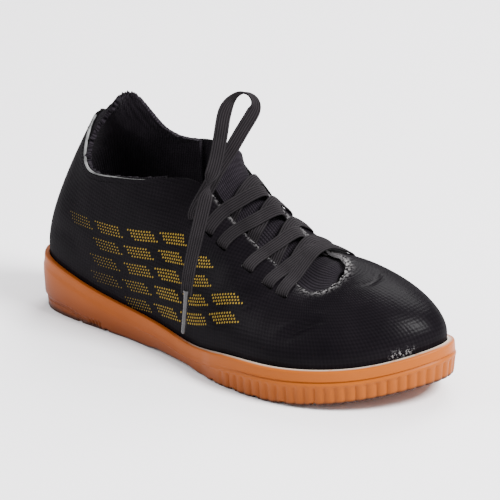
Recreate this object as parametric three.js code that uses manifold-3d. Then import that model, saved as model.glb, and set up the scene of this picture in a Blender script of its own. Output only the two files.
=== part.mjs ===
// A right training shoe: gum cup sole, hollow upper with lace slots, sock lining, tongue, insole and flat lace.
// Millimetres. +X runs to the toe, +Y to the inner side of the foot, +Z up.
// The origin is on the floor, under the middle of the heel.

import * as THREE from "three";
import { mergeVertices } from "three/addons/utils/BufferGeometryUtils.js";
import Module from "manifold-3d";

// Plan and heights of the sole
const soleLength = 285;
const ballWidth = 103;
const heelWidth = 71;
const heelRestAlong = 0.2; // where the middle of the heel stands, as a share of the length
const heelWallHeight = 34;
const waistWallHeight = 14.5;
const toeWallHeight = 19.5; // above the tread
const soleWall = 3;
const footbedHeight = 8;
const toeSpring = 12.8;
const archLift = 1.2;
const heelBevel = 3.6;
const forefootStep = 1.1; // how far the forefoot's wall stands out past the waist's
const wallBulge = 1;
const treadEdge = 1.5; // chamfer round the tread
const rimRound = 0.8; // round of the wall's top
const ledgeDepth = 6.2; // from the wall's top down to its groove
const ledgeGroove = 0.9;
const grooveHalfHeight = 0.7;
const flutePitch = 5.6;
const fluteDepth = 0.9;
const fluteRadius = 1.5;
const fluteStations = { first: 6.95, last: 17.05 };
const flexGrooveWidth = 3;
const flexGrooveDepth = 1.4;
const flexGrooves = [0.17, 0.25, 0.6, 0.66, 0.72, 0.78, 0.84]; // along the sole

// Heights and walls of the upper
const heelHeight = 117;
const instepHeight = 100;
const upperWall = 1.8;
const liningWall = 2.6;
const tongueWall = 2.6;
const insoleThickness = 4;
const insoleBevel = 0.8;
const seatGap = 0.3; // clearance between pieces that touch
const pipingDiameter = 1.7;
const pipingGap = 0.45; // clearance under the piping, which bends with the collar
const tongueLift = 8; // how far the tongue's end stands off the ankle's line

// Lace
const laceWidth = 8;
const laceThickness = 1.3;
const laceClearance = 0.8; // under the bars
const laceCordDiameter = 3;
const slotLength = 8.6;
const slotWidth = 2.4;
const slotMargin = 0.24; // from the throat's edge, as a share of the rib
const agletLength = 23;
const agletDiameter = 3;

// How finely the forms are divided
const soleColumns = 84;
const upperColumns = 72;
const ribSteps = 10;
const insoleColumns = 48;
const capSteps = 4;

const wasm = await Module();
wasm.setup();
const { lerp, smoothstep } = THREE.MathUtils;

// Plan of the sole, a row for each station round it: back of the heel, outer side, toe, inner side.
// across is a share of width, wall is a share of height.
const outlineRows = [
  { along: 0.0, across: 0.0, width: heelWidth, wall: 1.0, height: heelWallHeight },
  { along: 0.032, across: -0.343, width: heelWidth, wall: 0.98, height: heelWallHeight },
  { along: 0.109, across: -0.475, width: heelWidth, wall: 0.87, height: heelWallHeight },
  { along: 0.21, across: -0.503, width: heelWidth, wall: 0.69, height: heelWallHeight },
  { along: 0.316, across: -0.51, width: heelWidth, wall: 1.31, height: waistWallHeight },
  { along: 0.421, across: -0.39, width: ballWidth, wall: 1.14, height: waistWallHeight },
  { along: 0.523, across: -0.45, width: ballWidth, wall: 1.0, height: waistWallHeight },
  { along: 0.625, across: -0.507, width: ballWidth, wall: 0.93, height: toeWallHeight },
  { along: 0.726, across: -0.518, width: ballWidth, wall: 1.02, height: toeWallHeight },
  { along: 0.825, across: -0.457, width: ballWidth, wall: 1.02, height: toeWallHeight },
  { along: 0.909, across: -0.316, width: ballWidth, wall: 0.96, height: toeWallHeight },
  { along: 0.968, across: -0.136, width: ballWidth, wall: 0.96, height: toeWallHeight },
  { along: 0.999, across: 0.07, width: ballWidth, wall: 0.99, height: toeWallHeight },
  { along: 0.978, across: 0.252, width: ballWidth, wall: 0.99, height: toeWallHeight },
  { along: 0.91, across: 0.403, width: ballWidth, wall: 0.96, height: toeWallHeight },
  { along: 0.811, across: 0.477, width: ballWidth, wall: 1.0, height: toeWallHeight },
  { along: 0.712, across: 0.477, width: ballWidth, wall: 1.02, height: toeWallHeight },
  { along: 0.614, across: 0.417, width: ballWidth, wall: 0.93, height: toeWallHeight },
  { along: 0.516, across: 0.337, width: ballWidth, wall: 1.0, height: waistWallHeight },
  { along: 0.414, across: 0.297, width: ballWidth, wall: 1.14, height: waistWallHeight },
  { along: 0.312, across: 0.432, width: heelWidth, wall: 1.31, height: waistWallHeight },
  { along: 0.21, across: 0.475, width: heelWidth, wall: 0.69, height: heelWallHeight },
  { along: 0.109, across: 0.475, width: heelWidth, wall: 0.87, height: heelWallHeight },
  { along: 0.032, across: 0.336, width: heelWidth, wall: 0.98, height: heelWallHeight },
];

// Ribs of the upper, one over each station of the plan. Each ends at the opening's edge, at along, across and
// high, and bends by two pulls: up by rise and out by lean at its foot, down by drop and out by reach at its end.
// Sideways shares are of ballWidth, upright ones of heelHeight, except high, which is a share of height.
const ribRows = [
  { along: 0.105, across: 0.02, high: 1.0, height: heelHeight, rise: 0.22, lean: 0.01, drop: 0.22, reach: 0.14 },
  { along: 0.123, across: -0.126, high: 0.89, height: heelHeight, rise: 0.2, lean: 0.02, drop: 0.2, reach: 0.1 },
  { along: 0.175, across: -0.257, high: 0.79, height: heelHeight, rise: 0.18, lean: 0.03, drop: 0.18, reach: 0.04 },
  { along: 0.26, across: -0.3, high: 0.8, height: heelHeight, rise: 0.2, lean: 0.03, drop: 0.2, reach: 0.03 },
  { along: 0.361, across: -0.286, high: 0.98, height: instepHeight, rise: 0.22, lean: 0.03, drop: 0.2, reach: 0.04 },
  { along: 0.449, across: -0.175, high: 1.0, height: instepHeight, rise: 0.25, lean: 0.03, drop: 0.18, reach: 0.1 },
  { along: 0.512, across: -0.112, high: 0.84, height: instepHeight, rise: 0.2, lean: 0.02, drop: 0.1, reach: 0.16 },
  { along: 0.596, across: -0.117, high: 0.695, height: instepHeight, rise: 0.17, lean: 0.02, drop: 0.06, reach: 0.17 },
  { along: 0.681, across: -0.141, high: 0.585, height: instepHeight, rise: 0.14, lean: 0.02, drop: 0.04, reach: 0.17 },
  { along: 0.74, across: -0.165, high: 0.54, height: instepHeight, rise: 0.12, lean: 0.02, drop: 0.02, reach: 0.15 },
  { along: 0.772, across: -0.126, high: 0.555, height: instepHeight, rise: 0.12, lean: 0.02, drop: 0.02, reach: 0.2 },
  { along: 0.782, across: -0.049, high: 0.59, height: instepHeight, rise: 0.13, lean: 0.03, drop: 0.02, reach: 0.28 },
  { along: 0.777, across: 0.019, high: 0.62, height: instepHeight, rise: 0.15, lean: 0.03, drop: 0.02, reach: 0.33 },
  { along: 0.761, across: 0.078, high: 0.645, height: instepHeight, rise: 0.15, lean: 0.03, drop: 0.03, reach: 0.31 },
  { along: 0.733, across: 0.117, high: 0.66, height: instepHeight, rise: 0.17, lean: 0.03, drop: 0.03, reach: 0.27 },
  { along: 0.684, across: 0.136, high: 0.67, height: instepHeight, rise: 0.2, lean: 0.02, drop: 0.03, reach: 0.2 },
  { along: 0.604, across: 0.136, high: 0.79, height: instepHeight, rise: 0.21, lean: 0.02, drop: 0.07, reach: 0.15 },
  { along: 0.526, across: 0.136, high: 0.935, height: instepHeight, rise: 0.23, lean: 0.03, drop: 0.1, reach: 0.13 },
  { along: 0.453, across: 0.189, high: 1.035, height: instepHeight, rise: 0.25, lean: 0.03, drop: 0.2, reach: 0.08 },
  { along: 0.375, across: 0.262, high: 1.075, height: instepHeight, rise: 0.24, lean: 0.03, drop: 0.22, reach: 0.03 },
  { along: 0.295, across: 0.282, high: 0.893, height: heelHeight, rise: 0.24, lean: 0.03, drop: 0.22, reach: 0.02 },
  { along: 0.218, across: 0.272, high: 0.855, height: heelHeight, rise: 0.23, lean: 0.03, drop: 0.22, reach: 0.02 },
  { along: 0.154, across: 0.214, high: 0.89, height: heelHeight, rise: 0.22, lean: 0.03, drop: 0.22, reach: 0.06 },
  { along: 0.116, across: 0.126, high: 0.966, height: heelHeight, rise: 0.22, lean: 0.02, drop: 0.22, reach: 0.11 },
];
const stations = outlineRows.length;

// Knit above the shell's edge, a row for each station from the inner quarter (-4) round the heel to the outer (4).
// rise is a share of heelHeight, lean is how far it falls into the collar, a share of heelWidth.
const knitRows = [
  { station: -5, rise: 0.012, lean: 0.006 },
  { station: -4, rise: 0.017, lean: 0.007 },
  { station: -3, rise: 0.09, lean: 0.014 },
  { station: -2, rise: 0.205, lean: 0.05 },
  { station: -1, rise: 0.14, lean: 0.13 },
  { station: 0, rise: 0.085, lean: 0.19 },
  { station: 1, rise: 0.03, lean: 0.03 },
  { station: 2, rise: 0.01, lean: 0.006 },
  { station: 3, rise: 0.01, lean: 0.006 },
  { station: 4, rise: 0.01, lean: 0.006 },
  { station: 5, rise: 0.01, lean: 0.006 },
];

// Lace slots, front to back, as stations of the plan on the outer and the inner side
const slotRows = [
  { outer: 8.2, inner: 14.75 },
  { outer: 7.75, inner: 15.35 },
  { outer: 7.15, inner: 15.95 },
  { outer: 6.35, inner: 16.55 },
  { outer: 5.85, inner: 17.05 },
  { outer: 5.4, inner: 17.5 },
];

// Smooth run through evenly spaced values, whose slope and bend don't jump; closed on itself or open at its ends
function smoothRun(values, closed = true) {
  const count = values.length;
  const slopes = values.map(() => 0);
  const wrap = (index) => (index + count) % count;
  const passes = 60;
  for (let pass = 0; pass < passes; pass += 1) {
    for (let i = 0; i < count; i += 1) {
      if (closed || (i > 0 && i < count - 1)) {
        const rise = 3 * (values[wrap(i + 1)] - values[wrap(i - 1)]);
        slopes[i] = (rise - slopes[wrap(i + 1)] - slopes[wrap(i - 1)]) / 4;
      } else {
        const next = i === 0 ? 1 : count - 2;
        const side = i === 0 ? 1 : -1;
        slopes[i] = (3 * side * (values[next] - values[i]) - slopes[next]) / 2;
      }
    }
  }
  return (place) => {
    const inside = closed ? place - Math.floor(place / count) * count : place;
    const cell = closed ? Math.floor(inside) % count : Math.min(Math.max(Math.floor(inside), 0), count - 2);
    const t = inside - (closed ? Math.floor(inside) : cell);
    const next = wrap(cell + 1);
    const ease = t * t * (3 - 2 * t);
    const bends = slopes[cell] * t * (1 - t) * (1 - t) - slopes[next] * t * t * (1 - t);
    return values[cell] + (values[next] - values[cell]) * ease + bends;
  };
}

const planX = smoothRun(outlineRows.map((row) => (row.along - heelRestAlong) * soleLength));
const planY = smoothRun(outlineRows.map((row) => row.across * row.width));
const wallHeight = smoothRun(outlineRows.map((row) => row.wall * row.height));

// Unit vector out of the plan at a station
function outward(station) {
  const step = 0.02;
  const alongEdge = planX(station + step) - planX(station - step);
  const acrossEdge = planY(station + step) - planY(station - step);
  return new THREE.Vector3(acrossEdge, -alongEdge, 0).normalize();
}

// Point of the plan at a station, moved in by inset and up to height
function planPoint(station, inset, height) {
  return new THREE.Vector3(planX(station), planY(station), height).addScaledVector(outward(station), -inset);
}

const shareAlong = (x) => x / soleLength + heelRestAlong;

// Rise of the forefoot towards the toe
function springAt(x) {
  const springStart = 0.72;
  const past = Math.max(0, (shareAlong(x) - springStart) / (1 - springStart));
  return toeSpring * past * past;
}

// Underside of the tread: flat heel and forefoot, lifted arch, bevelled back of the heel, toe spring
function treadAt(x) {
  const bevelEnd = 0.077;
  const share = shareAlong(x);
  const behind = Math.max(0, (bevelEnd - share) / bevelEnd);
  const arch = smoothstep(share, 0.37, 0.41) - smoothstep(share, 0.51, 0.55);
  return springAt(x) + heelBevel * behind * behind + archLift * arch;
}

const footbedAt = (x) => footbedHeight + springAt(x);
const wallTopAt = (station) => springAt(planX(station)) + wallHeight(station);

// Triangles between two rows of points, which face the side where the first row runs on and the second lies above
function strip(first, second, triangles, closed = true) {
  const count = closed ? first.length : first.length - 1;
  for (let i = 0; i < count; i += 1) {
    const next = (i + 1) % first.length;
    triangles.push([first[i], first[next], second[next]], [first[i], second[next], second[i]]);
  }
}

// Closed floor or ceiling inside a ring, ruled from its outer side to its inner side, at the height heightAt(x)
function cap(ring, heightAt, facesUp, triangles) {
  const half = ring.length / 2;
  const rungs = [];
  for (let i = 0; i <= half; i += 1) {
    const from = ring[i];
    const to = ring[(ring.length - i) % ring.length];
    const rung = [from];
    for (let k = 1; k < capSteps; k += 1) {
      const point = from.clone().lerp(to, k / capSteps);
      rung.push(from === to ? from : point.setZ(heightAt(point.x)));
    }
    rung.push(to);
    rungs.push(rung);
  }
  for (let i = 0; i < half; i += 1) {
    for (let k = 0; k < capSteps; k += 1) {
      const corners = [rungs[i][k], rungs[i + 1][k], rungs[i + 1][k + 1], rungs[i][k + 1]];
      if (!facesUp) corners.reverse();
      const [a, b, c, d] = corners;
      const pair = [[a, b, c], [a, c, d]];
      triangles.push(...pair.filter((triangle) => new Set(triangle).size === 3));
    }
  }
}

// Geometry of a closed body from its triangles
function bodyOf(triangles) {
  const numbers = [];
  for (const corners of triangles) {
    for (const corner of corners) numbers.push(corner.x, corner.y, corner.z);
  }
  const geometry = new THREE.BufferGeometry();
  geometry.setAttribute("position", new THREE.Float32BufferAttribute(numbers, 3));
  return mergeVertices(geometry);
}

// The same body as a solid that can be joined and cut, and back
function toSolid(geometry) {
  const bare = geometry.clone();
  bare.deleteAttribute("normal");
  bare.deleteAttribute("uv");
  const merged = mergeVertices(bare);
  const mesh = new wasm.Mesh({
    numProp: 3,
    vertProperties: new Float32Array(merged.attributes.position.array),
    triVerts: new Uint32Array(merged.index.array),
  });
  return new wasm.Manifold(mesh);
}

function toGeometry(solid) {
  const mesh = solid.getMesh();
  const geometry = new THREE.BufferGeometry();
  geometry.setAttribute("position", new THREE.Float32BufferAttribute(mesh.vertProperties, 3));
  geometry.setIndex(new THREE.Uint32BufferAttribute(mesh.triVerts, 1));
  return geometry;
}

// Curved sheet with a wall: two grids of points, outer and inner, closed round their four edges
function thickSheet(outer, inner) {
  const triangles = [];
  const rows = outer.length;
  for (let j = 0; j + 1 < rows; j += 1) {
    strip(outer[j], outer[j + 1], triangles, false);
    strip(inner[j + 1], inner[j], triangles, false);
  }
  strip(outer[rows - 1], inner[rows - 1], triangles, false);
  strip(inner[0], outer[0], triangles, false);
  const edge = (grid, last) => grid.map((row) => row[last ? row.length - 1 : 0]);
  strip(edge(inner, true), edge(outer, true), triangles, false);
  strip(edge(outer, false), edge(inner, false), triangles, false);
  return bodyOf(triangles);
}

// Outsole: cup with its side wall, tread, step, ledge groove and flutes
function outsoleGeometry() {
  const forefoot = (x) => smoothstep(shareAlong(x), 0.56, 0.6);
  const profile = [
    { inset: treadEdge, lift: 0, from: "tread" },
    { inset: 0.2, lift: treadEdge, from: "tread" },
    { inset: -wallBulge, lift: 0.42, from: "share" },
    { inset: -0.6 * wallBulge, lift: ledgeDepth + grooveHalfHeight, from: "top" },
    { inset: 0, lift: ledgeDepth, from: "top", groove: ledgeGroove },
    { inset: -0.3 * wallBulge, lift: ledgeDepth - grooveHalfHeight, from: "top" },
    { inset: 0, lift: 1.2 * rimRound, from: "top" },
    { inset: rimRound, lift: 0, from: "top" },
    { inset: soleWall, lift: 0, from: "top" },
    { inset: soleWall, lift: 0, from: "footbed" },
  ];
  const rings = profile.map((row, level) => {
    const ring = [];
    for (let i = 0; i < soleColumns; i += 1) {
      const station = (i * stations) / soleColumns;
      const x = planX(station);
      const top = wallTopAt(station);
      const low = treadAt(x);
      const outer = level > 0 && level < profile.length - 2;
      const inset = row.inset - (outer ? forefootStep * forefoot(x) : 0) + (row.groove ?? 0) * forefoot(x);
      const point = planPoint(station, inset, 0);
      const heights = {
        tread: treadAt(point.x) + row.lift,
        share: lerp(low, top, row.lift),
        top: top - row.lift,
        footbed: footbedAt(point.x),
      };
      ring.push(point.setZ(heights[row.from]));
    }
    return ring;
  });
  const triangles = [];
  for (let level = 0; level + 1 < rings.length; level += 1) strip(rings[level], rings[level + 1], triangles);
  cap(rings[0], treadAt, false, triangles);
  cap(rings[rings.length - 1], footbedAt, true, triangles);
  return bodyOf(triangles);
}

// Upright grooves round the lower forefoot wall, one each flutePitch
function fluteCutters() {
  const cutters = [];
  const { first, last } = fluteStations;
  let walked = 0;
  let before = planPoint(first, 0, 0);
  const step = 0.01;
  for (let station = first; station < last; station += step) {
    const here = planPoint(station, 0, 0);
    walked += here.distanceTo(before);
    before = here;
    if (walked >= flutePitch) {
      walked -= flutePitch;
      const low = treadAt(planX(station)) - 2 * flexGrooveDepth;
      const high = wallTopAt(station) - ledgeDepth - 2 * grooveHalfHeight;
      const wedge = new THREE.CylinderGeometry(fluteRadius, fluteRadius, high - low, 4);
      wedge.rotateX(Math.PI / 2);
      wedge.rotateZ(Math.atan2(outward(station).y, outward(station).x));
      const inset = fluteDepth - fluteRadius - wallBulge - forefootStep;
      const middle = planPoint(station, inset, (low + high) / 2);
      wedge.translate(middle.x, middle.y, middle.z);
      cutters.push(toSolid(wedge));
    }
  }
  return cutters;
}

// Grooves across the tread, where the forefoot bends and the heel lands
function flexCutters() {
  return flexGrooves.map((along) => {
    const x = (along - heelRestAlong) * soleLength;
    const groove = new THREE.BoxGeometry(flexGrooveWidth, ballWidth * 1.4, 2 * flexGrooveDepth);
    groove.translate(x, 0, springAt(x));
    return toSolid(groove);
  });
}

function cutOutsole() {
  const body = toSolid(outsoleGeometry());
  return toGeometry(wasm.Manifold.difference([body, ...fluteCutters(), ...flexCutters()]));
}

// Upper
const upperInset = soleWall + seatGap;
const endX = smoothRun(ribRows.map((row) => (row.along - heelRestAlong) * soleLength));
const endY = smoothRun(ribRows.map((row) => row.across * ballWidth));
const endZ = smoothRun(ribRows.map((row) => row.high * row.height));
const footRise = smoothRun(ribRows.map((row) => row.rise * heelHeight));
const footLean = smoothRun(ribRows.map((row) => row.lean * ballWidth));
const endDrop = smoothRun(ribRows.map((row) => row.drop * heelHeight));
const endReach = smoothRun(ribRows.map((row) => row.reach * ballWidth));

// The curved part of one rib, from the top of the cup to the opening's edge
function ribCurve(station) {
  const out = outward(station);
  const foot = planPoint(station, upperInset, wallTopAt(station) + seatGap);
  const end = new THREE.Vector3(endX(station), endY(station), endZ(station));
  const footPull = foot.clone().addScaledVector(out, footLean(station));
  footPull.z += footRise(station);
  const endPull = end.clone().addScaledVector(out, endReach(station));
  endPull.z -= endDrop(station);
  return new THREE.CubicBezierCurve3(foot, footPull, endPull, end);
}

// Outside of the upper at a station and a share of its rib
const shellPoint = (station, share) => ribCurve(station).getPoint(share);

function shellNormal(station, share) {
  const step = 0.02;
  const low = Math.max(share - step, 0);
  const high = Math.min(share + step, 1);
  const alongEdge = shellPoint(station + step, share).sub(shellPoint(station - step, share));
  const upRib = shellPoint(station, high).sub(shellPoint(station, low));
  return alongEdge.cross(upRib).normalize();
}

const underShell = (station, share, depth) =>
  shellPoint(station, share).addScaledVector(shellNormal(station, share), -depth);

function upperGeometry() {
  const outer = [];
  const inner = [];
  for (let level = -1; level <= ribSteps; level += 1) {
    const outerRing = [];
    const innerRing = [];
    for (let i = 0; i < upperColumns; i += 1) {
      const station = (i * stations) / upperColumns;
      if (level < 0) {
        const outside = planPoint(station, upperInset, 0);
        const inside = planPoint(station, upperInset + upperWall, 0);
        outerRing.push(outside.setZ(footbedAt(outside.x) + seatGap));
        innerRing.push(inside.setZ(footbedAt(inside.x) + seatGap));
      } else {
        outerRing.push(shellPoint(station, level / ribSteps));
        innerRing.push(underShell(station, level / ribSteps, upperWall));
      }
    }
    outer.push(outerRing);
    inner.push(innerRing);
  }
  const rings = [...outer, ...inner.reverse()];
  const triangles = [];
  rings.forEach((ring, level) => strip(ring, rings[(level + 1) % rings.length], triangles));
  return bodyOf(triangles);
}

// Share of the rib where the slot's middle lies
const slotShare = 1 - slotMargin;

// Place, normal and run of the lace slot at a station
function slotAt(station) {
  const place = shellPoint(station, slotShare);
  const normal = shellNormal(station, slotShare);
  const run = shellPoint(station + 0.1, slotShare).sub(shellPoint(station - 0.1, slotShare)).normalize();
  return { place, normal, run };
}

function slotCutter(station) {
  const { place, normal, run } = slotAt(station);
  const slot = new THREE.BoxGeometry(slotLength, slotWidth, 5 * upperWall);
  const across = normal.clone().cross(run).normalize();
  slot.applyMatrix4(new THREE.Matrix4().makeBasis(run, across, normal).setPosition(place));
  return toSolid(slot);
}

function cutUpper() {
  const cutters = slotRows.flatMap((row) => [slotCutter(row.outer), slotCutter(row.inner)]);
  return toGeometry(wasm.Manifold.difference([toSolid(upperGeometry()), ...cutters]));
}

// Sock lining: behind the shell from the quarters round the heel, and above it as the knit tab
const knitStart = knitRows[0].station;
const knitRise = smoothRun(knitRows.map((row) => row.rise * heelHeight), false);
const knitLean = smoothRun(knitRows.map((row) => row.lean * heelWidth), false);

function liningGeometry() {
  const columnsEachSide = 13;
  const columns = 2 * columnsEachSide;
  const reach = (columnsEachSide * stations) / upperColumns;
  const belowSteps = 5;
  const aboveSteps = 2;
  const low = 0.4;
  const collarMiddle = new THREE.Vector3((0.26 - heelRestAlong) * soleLength, 0, 0);
  const grid = (depth) => {
    const rows = [];
    for (let j = 0; j <= belowSteps + aboveSteps; j += 1) {
      const row = [];
      for (let i = 0; i <= columns; i += 1) {
        const station = lerp(-reach, reach, i / columns);
        const share = lerp(low, 1, Math.min(j / belowSteps, 1));
        const point = underShell(station, share, depth);
        const above = Math.max(0, (j - belowSteps) / aboveSteps);
        const inward = collarMiddle.clone().sub(point).setZ(0).normalize();
        point.addScaledVector(inward, above * knitLean(station - knitStart));
        point.z += above * knitRise(station - knitStart);
        row.push(point);
      }
      rows.push(row);
    }
    return rows;
  };
  return thickSheet(grid(upperWall + seatGap), grid(upperWall + seatGap + liningWall));
}

// Stations of the throat's front end and of its two top corners, and how much of a rib one unit of side takes
const throatFront = { outer: 9.4, inner: 13.8 };
const throatCorner = { outer: 5, inner: 18 };
const ribDown = 0.4;
const throatPull = 0.36; // how far the edges' slopes carry on into the throat, as a share of its width

// Surface across the throat, which carries on from the shell's edges. run goes from the front (0) to the corners
// (1), side from the outer rib (-1) to the inner (1) and past them down the ribs.
function throatPoint(run, side) {
  const outerStation = lerp(throatFront.outer, throatCorner.outer, run);
  const innerStation = lerp(throatFront.inner, throatCorner.inner, run);
  if (side < -1) return shellPoint(outerStation, 1 + (side + 1) * ribDown);
  if (side > 1) return shellPoint(innerStation, 1 - (side - 1) * ribDown);
  const from = ribCurve(outerStation);
  const to = ribCurve(innerStation);
  const arm = throatPull * from.v3.distanceTo(to.v3);
  const fromPull = from.v3.clone().addScaledVector(from.getTangent(1), arm);
  const toPull = to.v3.clone().addScaledVector(to.getTangent(1), arm);
  return new THREE.CubicBezierCurve3(from.v3, fromPull, toPull, to.v3).getPoint((side + 1) / 2);
}

function throatNormal(run, side) {
  const step = 0.03;
  const across = throatPoint(run, side + step).sub(throatPoint(run, side - step));
  const back = throatPoint(run + step, side).sub(throatPoint(run - step, side));
  return across.cross(back).normalize();
}

// Tongue: under the throat, narrower above it, where it stands up past the shell
function tongueGeometry() {
  const columns = 10;
  const rows = 13;
  const front = 0.02;
  const back = 0.93;
  const freeFrom = 0.8;
  const narrowFrom = 0.6;
  const halfSpans = { wide: 1.34, narrow: 0.84 };
  const grid = (depth) => {
    const lines = [];
    for (let j = 0; j <= rows; j += 1) {
      const run = lerp(front, back, j / rows);
      const free = Math.max(0, (run - freeFrom) / (back - freeFrom));
      const halfSpan = lerp(halfSpans.wide, halfSpans.narrow, smoothstep(run, narrowFrom, freeFrom));
      const line = [];
      for (let i = 0; i <= columns; i += 1) {
        const side = lerp(-halfSpan, halfSpan, i / columns);
        const point = throatPoint(run, side).addScaledVector(throatNormal(run, side), -depth);
        point.z += tongueLift * free ** 3;
        line.push(point);
      }
      lines.push(line);
    }
    return lines;
  };
  return thickSheet(grid(upperWall + seatGap), grid(upperWall + seatGap + tongueWall));
}

// Insole
function insoleGeometry() {
  const edge = soleWall + seatGap + upperWall + 2 * seatGap;
  const profile = [
    { inset: edge, lift: seatGap },
    { inset: edge, lift: seatGap + insoleThickness - insoleBevel },
    { inset: edge + insoleBevel, lift: seatGap + insoleThickness },
  ];
  const rings = profile.map((row) => {
    const ring = [];
    for (let i = 0; i < insoleColumns; i += 1) {
      const point = planPoint((i * stations) / insoleColumns, row.inset, 0);
      ring.push(point.setZ(footbedAt(point.x) + row.lift));
    }
    return ring;
  });
  const triangles = [];
  for (let level = 0; level + 1 < rings.length; level += 1) strip(rings[level], rings[level + 1], triangles);
  cap(rings[0], (x) => footbedAt(x) + seatGap, false, triangles);
  cap(rings[2], (x) => footbedAt(x) + seatGap + insoleThickness, true, triangles);
  return bodyOf(triangles);
}

// Rolled edge that sits on the shell's collar from one station to another
function pipingGeometry(first, last) {
  const turns = 22;
  const lift = pipingGap + pipingDiameter / 2;
  const points = [];
  for (let i = 0; i <= turns; i += 1) {
    const station = lerp(first, last, i / turns);
    const point = underShell(station, 1, pipingDiameter / 2);
    points.push(point.addScaledVector(ribCurve(station).getTangent(1), lift));
  }
  const section = new THREE.Shape();
  section.absarc(0, 0, pipingDiameter / 2, 0, 2 * Math.PI);
  const path = new THREE.CatmullRomCurve3(points);
  return new THREE.ExtrudeGeometry(section, { steps: turns, curveSegments: 3, bevelEnabled: false, extrudePath: path });
}

// Flat strip of lace along a path of {place, normal}, with its width across the path
function laceStrip(path) {
  const outer = [[], []];
  const inner = [[], []];
  path.forEach(({ place, normal }, index) => {
    const before = path[Math.max(index - 1, 0)].place;
    const after = path[Math.min(index + 1, path.length - 1)].place;
    const run = after.clone().sub(before).normalize();
    const across = normal.clone().cross(run).normalize();
    const up = run.clone().cross(across).normalize();
    [-0.5, 0.5].forEach((side, edge) => {
      const rim = place.clone().addScaledVector(across, side * laceWidth);
      outer[edge].push(rim.clone().addScaledVector(up, laceClearance + laceThickness));
      inner[edge].push(rim.clone().addScaledVector(up, laceClearance));
    });
  });
  return thickSheet([outer[0], outer[1]], [inner[0], inner[1]]);
}

// Station of the throat's own run that matches a station of the plan
const runOfOuter = (station) => (station - throatFront.outer) / (throatCorner.outer - throatFront.outer);
const runOfInner = (station) => (station - throatFront.inner) / (throatCorner.inner - throatFront.inner);

// One bar of the lace from an outer slot to an inner slot, over the throat
function laceBar(outerStation, innerStation) {
  const steps = 7;
  const sideAtSlot = 1 + slotMargin / ribDown;
  const path = [];
  for (let i = 0; i <= steps; i += 1) {
    const share = i / steps;
    const side = lerp(-sideAtSlot, sideAtSlot, share);
    const run = lerp(runOfOuter(outerStation), runOfInner(innerStation), share);
    path.push({ place: throatPoint(run, side), normal: throatNormal(run, side) });
  }
  return laceStrip(path);
}

function laceBarsGeometry() {
  const bars = [];
  for (let i = 0; i < slotRows.length - 1; i += 1) {
    bars.push(toSolid(laceBar(slotRows[i].outer, slotRows[i].inner)));
    if (i > 0) bars.push(toSolid(laceBar(slotRows[i - 1].outer, slotRows[i].inner)));
  }
  return toGeometry(wasm.Manifold.union(bars));
}

// Free end of the lace: out of the top outer slot, up behind itself, over an arch and down the outer side
const hangingPoints = [
  [80, -26.8, 87],
  [84, -26, 94],
  [88, -24, 102],
  [91, -20, 111],
  [94, -14, 120],
  [97, -7, 131],
  [99.5, -1, 140],
  [100.5, 1, 146],
  [99, -2, 151.5],
  [95.5, -6, 153],
  [92, -10, 149],
  [91, -14, 142.5],
  [92.5, -18, 135],
  [94.5, -23, 125],
  [96, -28, 116],
  [97, -34, 106.5],
  [98, -40, 94],
  [98.5, -45.5, 81],
  [98, -49.5, 68],
  [97.5, -52, 58],
  [96.9, -53, 48],
].map(([x, y, z]) => new THREE.Vector3(x, y, z));

function laceEndPath() {
  const { place, normal } = slotAt(slotRows[slotRows.length - 1].outer);
  const start = place.clone().addScaledVector(normal, 2 * seatGap);
  const clear = place.clone().addScaledVector(normal, laceCordDiameter);
  clear.z += laceCordDiameter / 2;
  return new THREE.CatmullRomCurve3([start, clear, ...hangingPoints]);
}

function laceEndGeometry() {
  const section = new THREE.Shape();
  section.absarc(0, 0, laceCordDiameter / 2, 0, 2 * Math.PI);
  return new THREE.ExtrudeGeometry(section, {
    steps: 36,
    curveSegments: 4,
    bevelEnabled: false,
    extrudePath: laceEndPath(),
  });
}

function agletGeometry() {
  const path = laceEndPath();
  const direction = path.getTangent(1);
  const tip = new THREE.CylinderGeometry(agletDiameter / 2, agletDiameter / 2, agletLength, 8);
  tip.applyQuaternion(new THREE.Quaternion().setFromUnitVectors(new THREE.Vector3(0, -1, 0), direction));
  const middle = path.getPoint(1).addScaledVector(direction, seatGap + agletLength / 2);
  return tip.translate(middle.x, middle.y, middle.z);
}

const shoe = new THREE.Group();

function add(name, geometry, color, roughness, metalness = 0) {
  const mesh = new THREE.Mesh(geometry, new THREE.MeshStandardMaterial({ color, roughness, metalness }));
  mesh.name = name;
  shoe.add(mesh);
}

add("outsole", cutOutsole(), 0xc47a48, 0.55);
add("insole", insoleGeometry(), 0x1d1b1c, 0.9);
add("upper", cutUpper(), 0x1c191c, 0.5);
add("sock_lining", liningGeometry(), 0x18151a, 0.95);
add("tongue", tongueGeometry(), 0x1b181b, 0.9);
add("collar_piping_outer", pipingGeometry(0.2, 3.9), 0x8d8d8b, 0.4);
add("collar_piping_inner", pipingGeometry(-5.2, -0.2), 0x8d8d8b, 0.4);
add("lace_bars", laceBarsGeometry(), 0x464448, 0.85);
add("lace_end", laceEndGeometry(), 0x464448, 0.85);
add("aglet", agletGeometry(), 0x9a9a9a, 0.3);

export default shoe;
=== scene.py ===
"""Right training shoe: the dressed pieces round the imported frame, with floor, light and camera."""

import logging
import math
from dataclasses import dataclass
from enum import Enum
from functools import reduce
from typing import Callable, NamedTuple, Sequence

import bmesh
import bpy
import numpy as np
from mathutils import Matrix, Vector


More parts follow.
